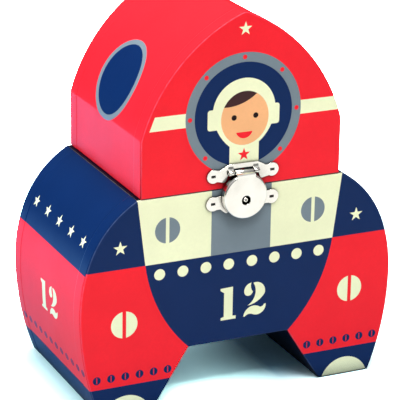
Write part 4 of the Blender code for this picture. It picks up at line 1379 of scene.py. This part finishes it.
def floor_material():
    """A pale floor, shaded under the arch and along the left foot, and dimmer in what it throws back."""
    made, tree, shader = material("pale_floor")
    seen = node(tree, "LightPath").outputs["Is Camera Ray"]
    place = object_place(tree)
    x, y, _ = node(tree, "SeparateXYZ", {0: place}).outputs
    away = node(tree, "VectorMath", {0: place}, operation="LENGTH").outputs["Value"]
    tone = mix(noise(tree, 0.004, 2), *OPEN_FLOOR)
    between_feet = product(window(x, -0.06, -0.05, 0.05, 0.065), ramp(y, -0.042, -0.02))
    tone = mix(between_feet, tone, fade(x, -0.006, 0.026, *ARCH_SHADOW))
    beside_foot = product(window(x, -0.095, -0.066, -0.066, -0.06), window(y, -0.06, -0.035, 0.03, 0.06))
    tone = mix(product(beside_foot, 0.7), tone, FOOT_SHADOW)
    tone = fade(away, 0.22, 0.45, tone, FAR_FLOOR)
    bounce = fade(y, -0.12, 0.0, BOUNCE_FRONT, BOUNCE_MIDDLE)
    bounce = fade(y, 0.04, 0.3, bounce, BOUNCE_BACK)
    feed(shader, Base_Color=mix(seen, bounce, tone), Roughness=0.9, Specular_IOR_Level=0.0)
    return made


def build_floor():
    across = FLOOR_STEPS + 1
    places = [FLOOR_SIZE * (i / FLOOR_STEPS - 0.5) for i in range(across)]
    faces = [(k, k + 1, k + across + 1, k + across)
             for k in range(FLOOR_STEPS * across) if k % across < FLOOR_STEPS]
    mesh = bpy.data.meshes.new("floor")
    mesh.from_pydata([(x, y, 0) for y in places for x in places], [], faces)
    mesh.materials.append(floor_material())
    floor = bpy.data.objects.new("floor", mesh)
    bpy.context.scene.collection.objects.link(floor)


def area_light(name, where, aim, size, watts, colour=(1, 1, 1), reflected=True):
    light = bpy.data.lights.new(name, "AREA")
    light.shape, light.size = "SQUARE", size
    light.energy, light.color = watts, colour
    lamp = bpy.data.objects.new(name, light)
    bpy.context.scene.collection.objects.link(lamp)
    lamp.location, lamp.visible_glossy = where, reflected
    lamp.rotation_euler = (Vector(aim) - Vector(where)).to_track_quat("-Z", "Y").to_euler()


def build_world():
    """A bright sky over a dim horizon, white to the camera; darker at the back in reflections."""
    world = bpy.data.worlds.new("studio")
    bpy.context.scene.world = world
    world.use_nodes = True
    tree = world.node_tree
    tree.nodes.clear()
    path = node(tree, "LightPath").outputs
    parts = node(tree, "SeparateXYZ", {0: node(tree, "TexCoord").outputs["Generated"]}).outputs
    behind = ramp(product(parts["Y"], path["Is Glossy Ray"]), 0.0, 0.6, 1.0, 0.3)
    strength = product(behind, ramp(parts["Z"], 0.0, 0.8, 0.12, 0.6))
    light = node(tree, "Background", {"Color": (0.97, 0.985, 1, 1), "Strength": strength})
    white = node(tree, "Background", {"Color": (1, 1, 1, 1), "Strength": 1.0})
    both = node(tree, "MixShader", {0: path["Is Camera Ray"], 1: light.outputs[0], 2: white.outputs[0]})
    node(tree, "OutputWorld", {0: both.outputs[0]})


CAMERA_TARGET = Vector((-20.2, -39.55, 95.5))    # mm
CAMERA_DISTANCE = 905.5
CAMERA_AZIMUTH, CAMERA_ELEVATION, CAMERA_ROLL = -24.965, 19.682, 0.919
FOCAL_LENGTH = 187.94


def build_camera():
    """The photograph's viewing angle, fitted to the printed pattern."""
    azimuth, elevation = radians(CAMERA_AZIMUTH), radians(CAMERA_ELEVATION)
    back = Vector((sin(azimuth) * cos(elevation), -cos(azimuth) * cos(elevation),
                   sin(elevation)))
    right = Vector((cos(azimuth), sin(azimuth), 0))
    up = back.cross(right)
    roll = radians(CAMERA_ROLL)
    turned_right = right * cos(roll) + up * sin(roll)
    turned_up = up * cos(roll) - right * sin(roll)
    data = bpy.data.cameras.new("camera")
    data.lens, data.sensor_width = FOCAL_LENGTH, 36.0
    data.clip_start, data.clip_end = 0.05, 20.0
    camera = bpy.data.objects.new("camera", data)
    bpy.context.scene.collection.objects.link(camera)
    camera.matrix_world = (Matrix.Translation((CAMERA_TARGET + back * CAMERA_DISTANCE) * MM)
                           @ Matrix((turned_right, turned_up, back)).transposed().to_4x4())
    bpy.context.scene.camera = camera


def build_lights():
    area_light("key", (0.0, -0.55, 1.15), (0, 0, 0.08), 0.6, 11.0, (1.0, 0.985, 0.95))
    area_light("side", (-0.95, 0.05, 0.8), (0, 0, 0.08), 0.7, 10.5, (0.97, 0.98, 1.0), False)
    area_light("overhead", (0.0, 0.5, 1.0), (0, 0, 0.05), 0.8, 4.0, reflected=False)


for build in (face_pieces, wrapped_pieces, lining_pieces, foot_pieces, binding_pieces, hinge_piece,
              hasp_pieces, strike_piece, case_piece, dress_cad_nodes, build_floor, build_lights,
              build_world, build_camera):
    build()
bpy.context.scene.view_settings.view_transform = "Standard"
